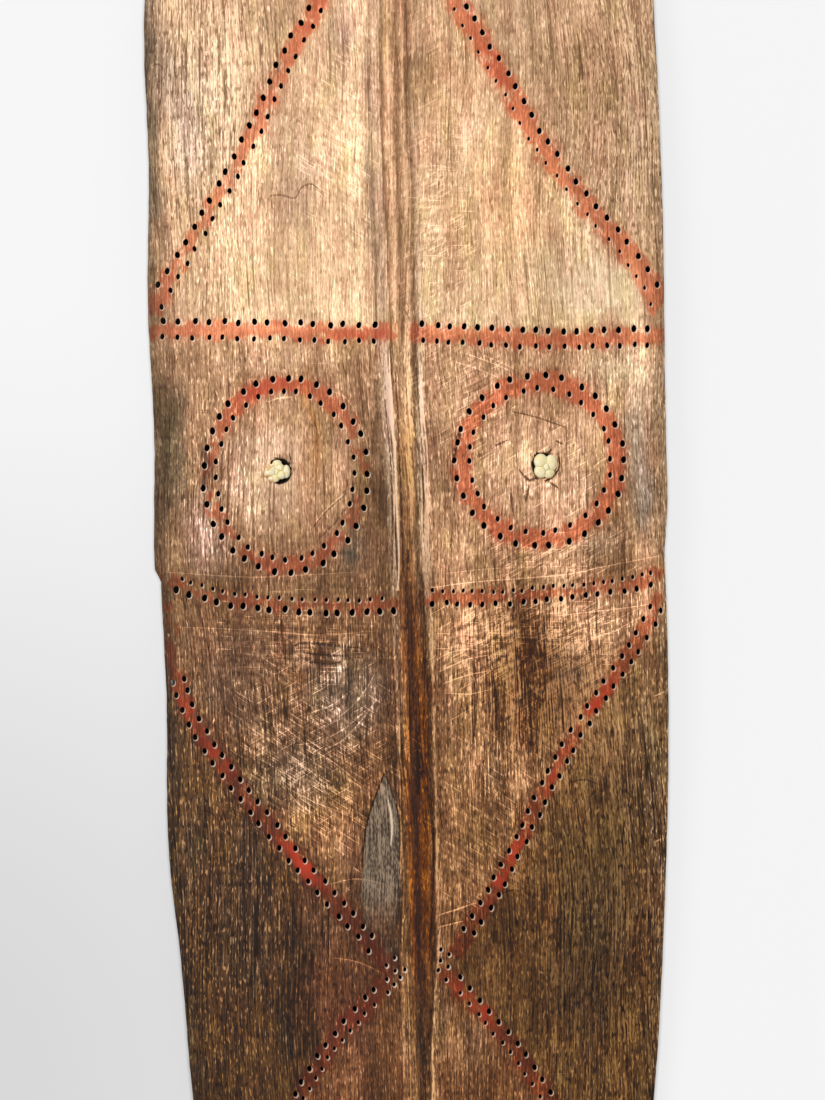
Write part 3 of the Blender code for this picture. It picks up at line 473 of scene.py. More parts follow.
# Marks seen in the photo, each a line: its width and depth in millimetres, how dark (above 0) or pale
# (below 0) it is, and the places in photo pixels that it passes
MARKS = (
    # The gouge in the upper field, the curl at the left edge, and nicks beside the rib
    (1.3, 0.4, 1.9, (270, 196), (281, 195), (295, 198), (301, 188), (311, 184), (318, 188)),
    (1.2, 0.3, 1.5, (152, 66), (158, 64), (164, 70), (163, 79), (157, 82)),
    (1.2, 0.4, 1.6, (404, 310), (408, 316), (410, 323)),
    (0.8, 0.2, 1, (413, 290), (413, 330)),
    # Round the left eye and below it
    (1.3, 0.1, -1.5, (268, 402), (279, 398), (292, 397)),
    (1.6, 0.2, -2, (215, 408), (218, 414)),
    (0.7, 0.2, -1.2, (326, 389), (347, 399), (362, 427), (369, 452), (371, 466)),
    (0.8, 0.2, -1.2, (166, 572), (247, 577), (300, 575), (356, 572)),
    (0.7, 0.2, -0.8, (236, 555), (262, 553), (300, 556)),
    (0.9, 0.3, 1.2, (311, 530), (326, 512), (343, 497)),
    (0.9, 0.3, 1, (318, 540), (336, 522), (348, 505)),
    (0.8, 0.2, -1.4, (315, 522), (332, 504), (346, 492)),
    # Round the right knot, and the slit beside the right ring
    (1, 0.3, 2, (514, 412), (528, 415), (542, 419), (556, 424), (565, 427)),
    (1.4, 0.4, 3.4, (497, 445), (506, 441)),
    (1.8, 0.5, 3.4, (520, 471), (529, 480), (536, 478)),
    (1.7, 0.4, 3.4, (529, 488), (526, 501)),
    (1.4, 0.4, 3.2, (511, 494), (513, 511)),
    (1.4, 0.4, 3, (548, 481), (558, 488)),
    (1.4, 0.4, 3, (556, 441), (563, 444)),
    (2.6, 0.8, 4, (459.4, 432), (458.6, 436), (458, 439)),
    (2.6, 0.8, 4, (456.6, 445), (455.6, 451), (454.8, 457)),
    # Dark crescents round the right knot, then round the left one, and the hollow above it: painted shade in
    # the gaps round the knots and in that hollow, over shallow cuts
    (2, 0.4, 6, (538, 453), (534.5, 457), (533.4, 463), (533.6, 469), (534.6, 475), (537, 479)),
    (0.9, 0.4, 5, (558, 455), (559.4, 460), (559.4, 466), (558.4, 471)),
    (1.6, 0.4, 6, (558, 470), (554, 475), (549, 479), (546, 481)),
    (2, 0.4, 5, (544, 452), (547, 454), (550, 451)),
    (1.4, 0.4, 6, (284.5, 461.5), (288, 465), (290.6, 470), (291, 474), (289.6, 477.5), (285, 481.8),
     (278.7, 483)),
    (1.2, 0.4, 5, (272, 462.4), (275.4, 459), (279, 458.2), (282, 460)),
    (5, 0.6, 1.6, (282, 457), (285, 457), (287, 460)),
    (0.9, 0.2, 5, (289, 454), (290.4, 458), (290, 463), (289, 466)),
    (1, 0.3, 4, (265, 476.5), (268, 478.5), (271, 480.4)),
    # Scratches above, across and below the right eye
    (0.7, 0.2, -1.4, (461, 352), (487, 361), (513, 372)),
    (0.7, 0.2, -1.2, (456, 362), (478, 369), (497, 377)),
    (0.6, 0.2, -1, (470, 350), (500, 362), (524, 374)),
    (0.8, 0.2, -1.5, (430, 588), (474, 582), (561, 575), (602, 567), (658, 556)),
    (0.6, 0.2, -1, (440, 574), (500, 568), (580, 566)),
    (0.8, 0.2, -1.3, (590, 472), (598, 463), (606, 458)),
    # Left of the rib, under the cheek line: dark strokes
    (1.9, 0.4, 1.9, (294, 646), (304, 643), (330, 645), (359, 648)),
    (1.4, 0.4, 1.9, (304, 653), (322, 655), (348, 656)),
    (1, 0.4, 1.5, (310, 662), (328, 664), (340, 662)),
    (1.3, 0.4, 2, (345, 652), (348, 669), (349, 690), (346, 706)),
    # A level line there, and scratches that fan out and fall
    (0.8, 0.2, -1.2, (177, 627), (229, 629), (276, 632), (322, 635), (370, 631)),
    (0.8, 0.2, -1.4, (296, 745), (320, 741), (345, 728), (366, 710)),
    (0.8, 0.2, -1.3, (318, 752), (340, 742), (360, 722), (376, 700)),
    (0.7, 0.2, -1.2, (330, 724), (352, 706), (368, 686), (378, 666)),
    (0.7, 0.2, -1.2, (300, 716), (330, 706), (352, 690)),
    (0.9, 0.2, -1.5, (281, 724), (307, 745), (333, 762), (362, 785)),
    (0.8, 0.2, -1.3, (270, 773), (288, 792), (304, 808), (330, 820)),
    (0.7, 0.2, -1.2, (262, 735), (290, 755), (322, 780), (350, 800)),
    (0.7, 0.2, -1.2, (284, 786), (310, 800), (340, 812), (362, 822)),
    (0.7, 0.2, -1, (300, 770), (330, 790), (360, 806)),
    # Along the rib, its arrises and its feet: the pale lines are painted highlights on its arrises and
    # ridges, and the dark ones painted shade in the shallow grooves beside them
    (1.8, 0.2, -4, (388, 800), (391, 815), (392, 830), (391, 844)),
    (5, 0.1, -0.5, (389, 366), (390, 380), (391.5, 398), (393, 425)),
    (2.4, 0.1, -3.3, (390, 376), (392, 400), (393.6, 430), (395, 460), (396.5, 500), (398, 530), (399, 560),
     (398, 590)),
    (1.2, 0.3, 2.2, (395, 372), (398, 420), (400, 470), (402, 520), (403, 570)),
    (1.2, 0.3, 2, (416.5, 370), (419, 410), (422, 450), (423.5, 500), (424, 545)),
    (1.4, 0.3, 2.2, (385, 400), (389, 440), (391.5, 480), (392.5, 530), (392, 580)),
    (0.9, 0.2, -1.6, (399, 690), (400, 760), (401, 830), (404, 880)),
    (1, 0.2, -2.2, (421, 385), (424, 420), (427, 450), (427.5, 490), (428, 540)),
    (1, 0.2, -1.6, (406, 920), (407, 960), (409, 1010), (410, 1060), (411, 1100)),
    (0.7, 0.2, -1.3, (401, 990), (403, 1040), (404, 1100)),
    # Rising scratches right of the rib
    (0.9, 0.2, -1.7, (439, 672), (453, 665), (468, 659), (488, 655)),
    (0.8, 0.2, -1.5, (442, 684), (468, 675), (505, 668)),
    (0.8, 0.2, -1.5, (445, 693), (470, 694), (488, 690)),
    (0.7, 0.2, -1.3, (459, 690), (476, 680), (494, 669)),
    (0.8, 0.2, -1.4, (436, 660), (452, 652), (472, 648)),
    (0.8, 0.2, -1.4, (572, 655), (583, 645), (595, 638), (630, 626)),
    (0.8, 0.2, -1.5, (583, 643), (597, 636), (612, 632), (641, 617)),
    (0.7, 0.2, -1.2, (560, 640), (580, 630), (610, 622), (640, 608)),
    (0.7, 0.2, -1.2, (556, 616), (590, 612), (625, 608), (650, 604)),
    # Strokes, ticks and flecks at the lower right
    (1.1, 0.3, 1.5, (572, 782), (585, 780), (598, 784)),
    (1.1, 0.3, 1.3, (503, 893), (515, 890), (528, 894)),
    (1, 0.2, -2, (655, 696), (664, 692)),
    (1, 0.2, -2.2, (655, 842), (661, 839)),
    (1.7, 0.2, -1.8, (592, 914), (596, 904), (598, 912)),
    (1.4, 0.2, -2.4, (540, 972), (543, 973)),
    # Scratches beside the lower crossing
    (1.1, 0.3, -2, (439, 915), (455, 910), (472, 904)),
    (1, 0.3, -1.9, (439, 927), (451, 924), (463, 921)),
    (0.9, 0.2, -1.6, (335, 958), (354, 961), (368, 966), (383, 974)),
    # Sides, foot and tip of the scoop, and scratches over it
    (1.2, 0.4, 2.6, (384, 774), (376, 795), (368, 820), (364, 845), (362, 868)),
    (1.2, 0.4, 2.6, (386, 776), (392, 792), (398, 812), (400, 835), (399, 862)),
    (1.6, 0.4, 1.6, (398, 880), (400, 900), (397, 925)),
    (2.6, 0.1, -2, (381, 784), (383, 792)),
    (0.8, 0.2, -1.5, (329, 884), (354, 879), (372, 881), (392, 887)),
    (0.8, 0.2, -1.3, (364, 870), (368, 862), (373, 854)),
    # Patches at the lower left
    (2.4, 0.2, -1.4, (314, 866), (320, 872), (327, 878)),
    (1, 0.3, 1.2, (203, 811), (211, 813), (218, 820)),
    (1.3, 0.1, -1.1, (211, 816), (210, 836), (209, 855)),
    # Knots and stains of the rib, and a fleck in the upper row
    (3.6, 0.3, 1.9, (419, 726), (418, 745), (420, 768), (418, 790)),
    (3.2, 0.3, 1.6, (408, 552), (409, 566)),
    (2.4, 0.2, 1.3, (425, 1038), (424, 1068), (426, 1100)),
    (1.8, 0.2, -2.4, (367, 324), (368, 328)),
)
# The holes of the two crossings beside the rib, in photo pixels, and the part of the photo that they fill
CROSSING_HOLES = (
    (394.7, 958), (386.6, 965.6), (395.3, 971), (400.3, 977.5), (405, 969.6), (387, 979.5), (394.2, 984.5),
    (388, 992.5), (441, 949.6), (449.3, 954.5), (440.6, 960.6), (438.4, 970), (448.4, 967), (446.4, 980),
)
CROSSING_HOLE_SIZE = (0.0026, 0.0035)  # in metres
CROSSINGS = ((382, 401, 948, 1004), (433, 453, 945, 1003))
# The long knife scoop beside the rib, in photo pixels, and its depth
SCOOP = (
    (384, 775), (376, 796), (368, 820), (364, 845), (363, 870), (360, 895), (366, 925), (380, 938),
    (396, 930), (401, 900), (400, 860), (400, 830), (398, 808), (392, 790),
)
SCOOP_DEPTH = 0.0009
SCOOP_SOFTNESS = 0.0009  # width of its sides
SCOOP_END_Y = -0.315  # its lower end, and the length over which it gets shallower there
SCOOP_FADE = 0.05
MARK_TIP = 0.35  # width of a mark at its ends, as a share of its width in the middle
# Loose points along the marks and round the scoop: how far apart, at which shares of a mark's half width, how
# far from the scoop's rim, and the size of the cells that keep only one of them
MARK_STEP = 0.0008
MARK_ROWS = (-1.45, -0.75, 0, 0.75, 1.45)
SCOOP_RIM_ROWS = (-0.0007, 0.0, 0.0007)
POINT_CELL = 0.0003


# The photograph's view
CAMERA_DISTANCE = 3.0  # above the crown
VIEW_CENTRE = (0.0004, -0.0568)
VIEW_HEIGHT = 0.7095
VIEW_ROLL = -math.radians(1.29)
SENSOR_WIDTH = 36
# Light: the key's place, size and power, and the world's strength
KEY_PLACE = (-1.7, 1.1, 2.4)
KEY_SIZE = 1.8
KEY_POWER = 52
WORLD_STRENGTH = 0.62
# Floor: how far it reaches past the board, and the insets of the border between its dark middle, a painted
# shadow under the shield, and the rest
FLOOR_REACH = 8
FLOOR_SHADOW_BORDER = (0.004, -0.003)


# Noise and shaping

def lattice(ix, iy, seed):
    value = np.sin(ix * 127.1 + iy * 311.7 + seed * 74.7) * 43758.5453
    return 2 * (value - np.floor(value)) - 1


def value_noise(x, y, seed):
    """Smooth noise from -1 to 1 with features of one unit."""
    ix, iy = np.floor(x), np.floor(y)
    fx, fy = x - ix, y - iy
    fx, fy = fx * fx * (3 - 2 * fx), fy * fy * (3 - 2 * fy)
    low = lattice(ix, iy, seed) * (1 - fx) + lattice(ix + 1, iy, seed) * fx
    high = lattice(ix, iy + 1, seed) * (1 - fx) + lattice(ix + 1, iy + 1, seed) * fx
    return low * (1 - fy) + high * fy


def waves(x, y, table):
    """Height of the waves that the table lists."""
    return sum(height * value_noise(x / width, y / length, seed) for height, width, length, seed in table)


def smooth(t):
    t = np.clip(t, 0, 1)
    return t * t * (3 - 2 * t)


def soft_step(t, soft):
    """Rises from 0 to 1 as t does, with both its corners rounded."""
    def bend(v):
        return np.where(v < -soft, 0, np.where(v > soft, v, (v + soft) ** 2 / (4 * soft)))
    return bend(t) - bend(t - 1)


def leftward(ahead):
    """The unit vectors that point to the left of the given ones."""
    return np.stack((-ahead[:, 1], ahead[:, 0]), 1) / np.maximum(np.hypot(*ahead.T), 1e-9)[:, None]


def to_segment(x, y, start, end):
    """Distance of each place to a straight stretch, and how far along that its nearest point is (0 to 1)."""
    (ax, ay), (bx, by) = start, end
    t = np.clip(((x - ax) * (bx - ax) + (y - ay) * (by - ay)) / ((bx - ax) ** 2 + (by - ay) ** 2), 0, 1)
    return np.hypot(x - ax - t * (bx - ax), y - ay - t * (by - ay)), t


def twice_area(a, b, c):
    """Twice the area of flat triangles, below 0 where they turn clockwise."""
    return (b[:, 0] - a[:, 0]) * (c[:, 1] - a[:, 1]) - (b[:, 1] - a[:, 1]) * (c[:, 0] - a[:, 0])


# What the photo shows, on the board

def on_board(px, py):
    """The place on the board that lies behind a photo pixel."""
    right, up = PIXEL * (px - PHOTO_MIDDLE[0]), PIXEL * (PHOTO_MIDDLE[1] - py)
    across = right * math.cos(VIEW_ROLL) - up * math.sin(VIEW_ROLL)
    along = right * math.sin(VIEW_ROLL) + up * math.cos(VIEW_ROLL)
    away = 1 + (CROWN_Z - surface_at(VIEW_CENTRE[0] + across, VIEW_CENTRE[1] + along)) / CAMERA_DISTANCE
    return VIEW_CENTRE[0] + across * away, VIEW_CENTRE[1] + along * away


def curve_through(places, steps):
    """A Catmull-Rom curve through the places."""
    placed = np.array(places)
    padded = np.concatenate((2 * placed[:1] - placed[1:2], placed, 2 * placed[-1:] - placed[-2:-1]))
    t = np.arange(steps)[:, None] / steps
    path = [0.5 * (2 * b + (c - a) * t + (2 * a - 5 * b + 4 * c - d) * t ** 2
                   + (3 * b - a - 3 * c + d) * t ** 3)
            for a, b, c, d in zip(padded, padded[1:], padded[2:], padded[3:])]
    return np.concatenate((*path, placed[-1:]))


def mark_paths():
    """Each mark's width, depth and darkness, and its path on the board."""
    for width, depth, dark, *places in MARKS:
        path = curve_through([on_board(*place) for place in places], 5)
        yield width * MILLIMETRE, depth * MILLIMETRE, dark, path


def mark_amounts(x, y):
    """How deep the marks are cut at each place, and how dark or pale they make it."""
    cut, tone = np.zeros_like(x), np.zeros_like(x)
    for width, depth, dark, path in mark_paths():
        distance, at = distance_to(x, y, path)
        reach = width / 2 * (MARK_TIP + (1 - MARK_TIP) * np.sqrt(np.clip(4 * at * (1 - at), 0, 1)))
        share = smooth(1.3 - distance / reach)
        cut = np.maximum(cut, depth * share)
        tone = np.where(np.abs(dark) * share > np.abs(tone), dark * share, tone)
    return cut, tone


def scoop_share(x, y):
    """1 inside the knife scoop, 0 outside it, and less towards its lower end."""
    corners = [on_board(*corner) for corner in SCOOP]
    return inside(x, y, corners, SCOOP_SOFTNESS) * smooth((y - SCOOP_END_Y) / SCOOP_FADE)


def mark_points():
    """Loose points close together along the marks and round the scoop, so that the mesh can show them."""
    points = []
    for width, _, _, path in mark_paths():
        length = np.hypot(*np.diff(path, axis=0).T).sum()
        count = max(3, int(length / MARK_STEP))
        at = np.linspace(0, len(path) - 1, count)
        line = np.stack([np.interp(at, np.arange(len(path)), path[:, i]) for i in (0, 1)], 1)
        side = leftward(np.gradient(line, axis=0))
        for k, share in enumerate(MARK_ROWS):
            shift = 0.0001 * value_noise(at * 3.7, at * 0 + k, 91)[:, None]
            points.append(line + side * (share * width / 2 + shift))
    corners = [on_board(*corner) for corner in SCOOP]
    rim = curve_through(corners + corners[:1], 12)
    side = leftward(np.gradient(rim, axis=0))
    points += [rim + side * offset for offset in SCOOP_RIM_ROWS]
    points = np.concatenate(points)
    cells = np.floor(points / POINT_CELL).astype(int)
    return points[np.unique(cells, axis=0, return_index=True)[1]]


# Form of the board

def half_width(x, y):
    """Distance from the centre line to the edge on the side where x lies, before the end is rounded."""
    taper = END_TAPER * (np.abs(y - WIDEST_Y) / (HALF_LENGTH + WIDEST_Y)) ** TAPER_POWER
    widths = []
    for side in (-1, 1):
        depth, length, crest = EDGE_WAVES[side]
        wave = depth * (1 - np.cos(2 * np.pi * (y - crest) / length)) / 2
        start, step_length, loss, run_out = EDGE_LOSSES[side]
        below = start - y
        lost = loss * np.clip(below / step_length, 0, 1) * np.clip(1 - (below - step_length) / run_out, 0, 1)
        widths.append(WIDTH / 2 - taper - wave - lost)
    return np.where(x < 0, *widths)


def end_y(share):
    return CORNER_Y + END_ARCH * (1 - np.minimum(1, share) ** END_ARCH_POWER) ** (1 / END_ARCH_POWER)


def width_share(x, y):
    share = np.zeros_like(x)
    for _ in range(4):
        share = np.minimum(1, np.abs(x) / half_width(x, CORNER_Y * y / end_y(share)))
    return share


def field_height(x, y):
    return CROWN_Z - SIDE_DROP * width_share(x, y) ** SECTION_POWER - BOW * (y / HALF_LENGTH) ** 2


def surface_at(x, y):
    """Height of the plain front at one place."""
    return float(field_height(np.array([x]), np.array([y]))[0])


def rib_at(y):
    """Centre, half width of the top, left flank and right flank of the rib at y."""
    share = np.clip(y / HALF_LENGTH, -1, 1)
    row = np.clip(np.searchsorted(RIB_STATIONS[:, 0], share) - 1, 0, len(RIB_STATIONS) - 2)
    low, high = RIB_STATIONS[row], RIB_STATIONS[row + 1]
    t = smooth((share - low[..., 0]) / (high[..., 0] - low[..., 0]))
    values = low[..., 1:] + (high[..., 1:] - low[..., 1:]) * t[..., None]
    return values[..., 0], values[..., 1] / 2, values[..., 2], values[..., 3]


def rib_rise(x, y):
    centre, half_top, left, right = rib_at(y)
    flank = np.where(x < centre, left, right)
    t = 1 - (np.abs(x - centre) - half_top) / flank
    crown = RIB_CROWN * np.clip(1 - ((x - centre) / half_top) ** 2, 0, 1)
    return RIB_HEIGHT * soft_step(t, np.minimum(ROUNDED_SHARE, RIB_ROUNDING / flank)) + crown


def relief(x, y):
    """The adze's waves, the cut marks and the scoop, as height above the plain form."""
    scoop = scoop_share(x, y) * (SCOOP_DEPTH + waves(x, y, SCOOP_RIDGES))
    return waves(x, y, FRONT_WAVES) - mark_amounts(x, y)[0] - scoop


def front_height(x, y):
    return field_height(x, y) + rib_rise(x, y) + relief(x, y)


def back_height(x, y):
    uneven = waves(x, y, BACK_WAVES) * (np.abs(y) < CORNER_Y - BACK_END_ROOM)
    return np.maximum(0, field_height(x, y) - BOARD_THICKNESS + uneven)


# Layout of the vertices

def board_outline():
    """Even steps round the board, with the small nicks of its edge, and the way inward at each."""
    side_y = np.linspace(-CORNER_Y, CORNER_Y, SIDE_SAMPLES)
    arc = np.linspace(0, math.pi, END_SAMPLES)[1:-1]
    share, reach = np.cos(arc), CORNER_Y + END_ARCH * np.sin(arc) ** (2 / END_ARCH_POWER)
    share = np.sign(share) * np.abs(share) ** (2 / END_ARCH_POWER)
    parts = []
    for side in (1, -1):
        y = side * side_y
        parts.append(np.stack((side * half_width(np.full_like(y, side), y), y), 1))
        across = side * share
        corner_y = np.full_like(across, side * CORNER_Y)
        parts.append(np.stack((across * half_width(across, corner_y), side * reach), 1))
    line = np.concatenate(parts)
    steps = np.hypot(*(np.roll(line, -1, 0) - line).T)
    along = np.concatenate(((0,), np.cumsum(steps)))
    count = round(along[-1] / OUTLINE_STEP)
    at = np.arange(count) * along[-1] / count
    closed = np.concatenate((line, line[:1]))
    line = np.stack([np.interp(at, along, closed[:, i]) for i in (0, 1)], 1)
    inward = leftward(np.roll(line, -1, 0) - np.roll(line, 1, 0))
    nick = sum(depth * (1 + value_noise(at / length, at * 0, seed)) for depth, length, seed in NICKS)
    return line + inward * nick[:, None], inward


def drilled_holes():
    """Centre, width and height of each hole, read from the pits in the front of the framed board."""
    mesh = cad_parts["board"].data
    places = np.array([v.co for v in mesh.vertices], float)
    corners = np.array([p.vertices for p in mesh.polygons])
    spots, index = np.unique(np.round(places, 5), axis=0, return_inverse=True)
    corners = index.reshape(-1)[corners]
    x, y, z = spots.T
    centre, half_top, left, right = rib_at(y)
    flank = np.where(x < centre, left, right)
    rise = RIB_HEIGHT * np.clip(1 - (np.abs(x - centre) - half_top) / flank, 0, 1)
    depth = field_height(x, y) + rise - z
    away = np.min([np.hypot(x - tie.x, y - tie.y) for tie in TIE_PLACES], axis=0)
    tips = np.nonzero((np.abs(depth - PIT_DEPTH) < PIT_TOLERANCE) & (away > MOUTH_WIDTH))[0]
    holes = []
    for tip in tips:
        around = spots[np.unique(corners[(corners == tip).any(1)])]
        width, height = np.ptp(around[:, :2], axis=0)
        reach = half_width(x[tip], y[tip]) - width / 2 - EDGE_WOOD
        holes.append((np.clip(x[tip], -reach, reach), y[tip], width, height))
    holes = np.array(holes)
    for left, right, top, bottom in CROSSINGS:
        low, high = on_board(left, bottom), on_board(right, top)
        holes = holes[~((holes[:, :2] > low) & (holes[:, :2] < high)).all(1)]
    crossing = [(*on_board(*hole), *CROSSING_HOLE_SIZE) for hole in CROSSING_HOLES]
    return np.concatenate((holes, crossing))


def ring_points(holes, grow, shift, sides, seed):
    """Slightly uneven ovals, one row of points for each hole."""
    angle = np.arange(sides) * 2 * np.pi / sides
    index = np.arange(len(holes))[:, None]
    turn = HOLE_TURN * lattice(index, index * 0, seed)
    pull = 1 + HOLE_UNEVENNESS * lattice(index, np.arange(sides)[None, :] * 3.0, seed)
    grow, shift = np.reshape(grow, (-1, 1)), np.reshape(shift, (-1, 1))
    a = (holes[:, 2:3] / 2 * pull + grow) * np.cos(angle)
    b = (holes[:, 3:4] / 2 * pull + grow) * np.sin(angle)
    x = holes[:, 0:1] + a * np.cos(turn) - b * np.sin(turn) + shift
    y = holes[:, 1:2] + a * np.sin(turn) + b * np.cos(turn) - shift
    return np.stack((x, y), -1)


def flare_room(holes):
    """How far each hole's rim may flare before it meets its neighbour's."""
    dx = np.abs(holes[:, None, 0] - holes[None, :, 0])
    dy = np.abs(holes[:, None, 1] - holes[None, :, 1])
    distance = np.hypot(dx, dy) + np.eye(len(holes))
    lean = np.arctan2(dy, dx)
    reach = np.hypot(holes[:, None, 2] * np.cos(lean), holes[:, None, 3] * np.sin(lean)) / 2
    gap = distance - reach - reach.T
    return np.clip(gap.min(1) / 4, LEAST_FLARE, RIM_FLARE)


def hex_grid(step, seed):
    """Evenly spread points over the board's box, shaken a little."""
    rows = []
    row_step = step * math.sqrt(3) / 2
    for i in range(int(LENGTH / row_step) + 1):
        x = np.arange(-WIDTH / 2 + (i % 2) * step / 2, WIDTH / 2, step)
        rows.append(np.stack((x, np.full_like(x, -HALF_LENGTH + i * row_step)), 1))
    grid = np.concatenate(rows)
    x, y = GRID_NOISE * grid.T / step
    return grid + GRID_SHAKE * step * np.stack([value_noise(x, y, seed + i) for i in (0, 1)], 1)


def clear_of_edge(points, line, inward, margin):
    """The points that lie further inside the line than the margin."""
    kept = []
    for batch in np.array_split(points, 40):
        gap = batch[:, None] - line
        nearest = np.hypot(gap[..., 0], gap[..., 1]).argmin(1)
        depth = (gap[np.arange(len(batch)), nearest] * inward[nearest]).sum(1)
        kept.append(batch[depth > margin])
    return np.concatenate(kept)


def clear_of_ovals(points, ovals, margin):
    keep = np.ones(len(points), bool)
    for x, y, width, height in ovals:
        near = np.nonzero((np.abs(points[:, 0] - x) < 0.02) & (np.abs(points[:, 1] - y) < 0.02))[0]
        across = (points[near, 0] - x) / (width / 2 + margin)
        along = (points[near, 1] - y) / (height / 2 + margin)
        keep[near[across ** 2 + along ** 2 < 1]] = False
    return points[keep]


def rib_place(x, y):
    """Where each place is among the lines along the rib: 0 at the left foot, 6 at the right one."""
    rows = np.array([[on_board(across, row) for across in line] for row, *line in RIB_LINES])[::-1]
    lines = np.array([np.interp(y, rows[:, k, 1], rows[:, k, 0]) for k in range(rows.shape[1])])
    gaps = np.diff(lines, axis=0)
    between = np.clip((x - lines[:-1]) / gaps, 0, 1).sum(0)
    return between + np.minimum((x - lines[0]) / gaps[0], 0) + np.maximum((x - lines[-1]) / gaps[-1], 0)


def rib_columns():
    """Points in lines along the rib, close together at its rounded arrises and feet."""
    y = np.arange(RIB_END_ROOM - HALF_LENGTH, HALF_LENGTH - RIB_END_ROOM, FRONT_STEP)
    centre, half_top, left, right = rib_at(y)
    lines = [centre, centre - half_top / 2, centre + half_top / 2]
    for side, flank in ((-1, left), (1, right)):
        soft = np.minimum(ROUNDED_SHARE * flank, RIB_ROUNDING)
        top = centre + side * half_top
        foot = top + side * flank
        lines += [top - side * soft, top, top + side * soft, foot - side * soft, foot, foot + side * soft,
                  (top + foot) / 2, foot + side * (soft + RIB_FOOT_ROOM)]
    return np.concatenate([np.stack((x, y), 1) for x in lines])


def triangulate(loops, points):
    """Triangles over the closed loops and the loose points. The first loop is the outline."""
    edges = []
    start = 0
    for loop in loops:
        count = len(loop)
        edges += [(start + i, start + (i + 1) % count) for i in range(count)]
        start += count
    everything = np.concatenate([*loops, points])
    vectors = [Vector(p) for p in everything * 1000]
    places, _, faces, *_ = geometry.delaunay_2d_cdt(vectors, edges, [], 1, 1e-6, False)
    if len(places) != len(everything):
        raise ValueError("two lines of the layout meet")
    return everything, within_outline(np.array(faces), loops[0])


def within_outline(faces, outline):
    """Leaves out the triangles between far corners of the outline, which turn the other way round it."""
    along, after = outline, np.roll(outline, -1, 0)
    turn = np.sum(along[:, 0] * after[:, 1] - along[:, 1] * after[:, 0])
    on_edge = (faces < len(outline)).all(1)
    a, b, c = (outline[i] for i in np.sort(np.where(on_edge[:, None], faces, 0), axis=1).T)
    return faces[~(on_edge & (twice_area(a, b, c) * turn <= 0))]


def circle(centre, radius, sides, roughness=0, seed=0):
    angle = np.arange(sides) * 2 * np.pi / sides
    reach = radius + roughness * value_noise(angle * sides / 7, angle * 0, seed)
    return np.stack((centre[0] + reach * np.cos(angle), centre[1] + reach * np.sin(angle)), 1)


def along_loops(loops, seam, width, turns):
    """Faces and map places of the band between closed loops of equal length, laid out in strips."""
    count = len(loops[0])
    this = np.arange(count)
    per_turn = math.ceil(count / turns)
    faces, places = [], []
    for k, (near, far) in enumerate(zip(loops, loops[1:])):
        faces.append(np.stack((near[this], far[this], far[(this + 1) % count], near[(this + 1) % count]), 1))
        turn, step = this // per_turn, this % per_turn
        u = (seam + turn * width)[:, None] + (k + np.array((0, 1, 1, 0))) * width / len(loops)
        v = (step[:, None] + np.array((0, 0, 1, 1))) / per_turn
        places.append(np.stack((u, v), -1))
    return np.concatenate(faces), np.concatenate(places)


def smoothed(mesh):
    mesh.shade_smooth()
    mesh.set_sharp_from_angle(angle=SHARP_ANGLE)
    return mesh


def in_scene(name, data):
    """A new object of the scene with the given data."""
    thing = bpy.data.objects.new(name, data)
    bpy.context.scene.collection.objects.link(thing)
    return thing


def mesh_from(name, places, groups):
    """A smooth mesh of groups of faces, each a table of corners and a table of their places on the map."""
    corners = np.concatenate([faces.ravel() for faces, _ in groups]).astype(np.int32)
    uv = np.concatenate([spots.reshape(-1, 2) for _, spots in groups])
    sizes = np.concatenate([np.full(len(faces), faces.shape[1]) for faces, _ in groups])
    mesh = bpy.data.meshes.new(name)
    mesh.vertices.add(len(places))
    mesh.vertices.foreach_set("co", places.ravel())
    mesh.loops.add(len(corners))
    mesh.loops.foreach_set("vertex_index", corners)
    mesh.polygons.add(len(sizes))
    mesh.polygons.foreach_set("loop_start", (np.cumsum(sizes) - sizes).astype(np.int32))
    mesh.update(calc_edges=True)
    mesh.uv_layers.new(name="OFBake").data.foreach_set("uv", uv.ravel())
    return smoothed(mesh)


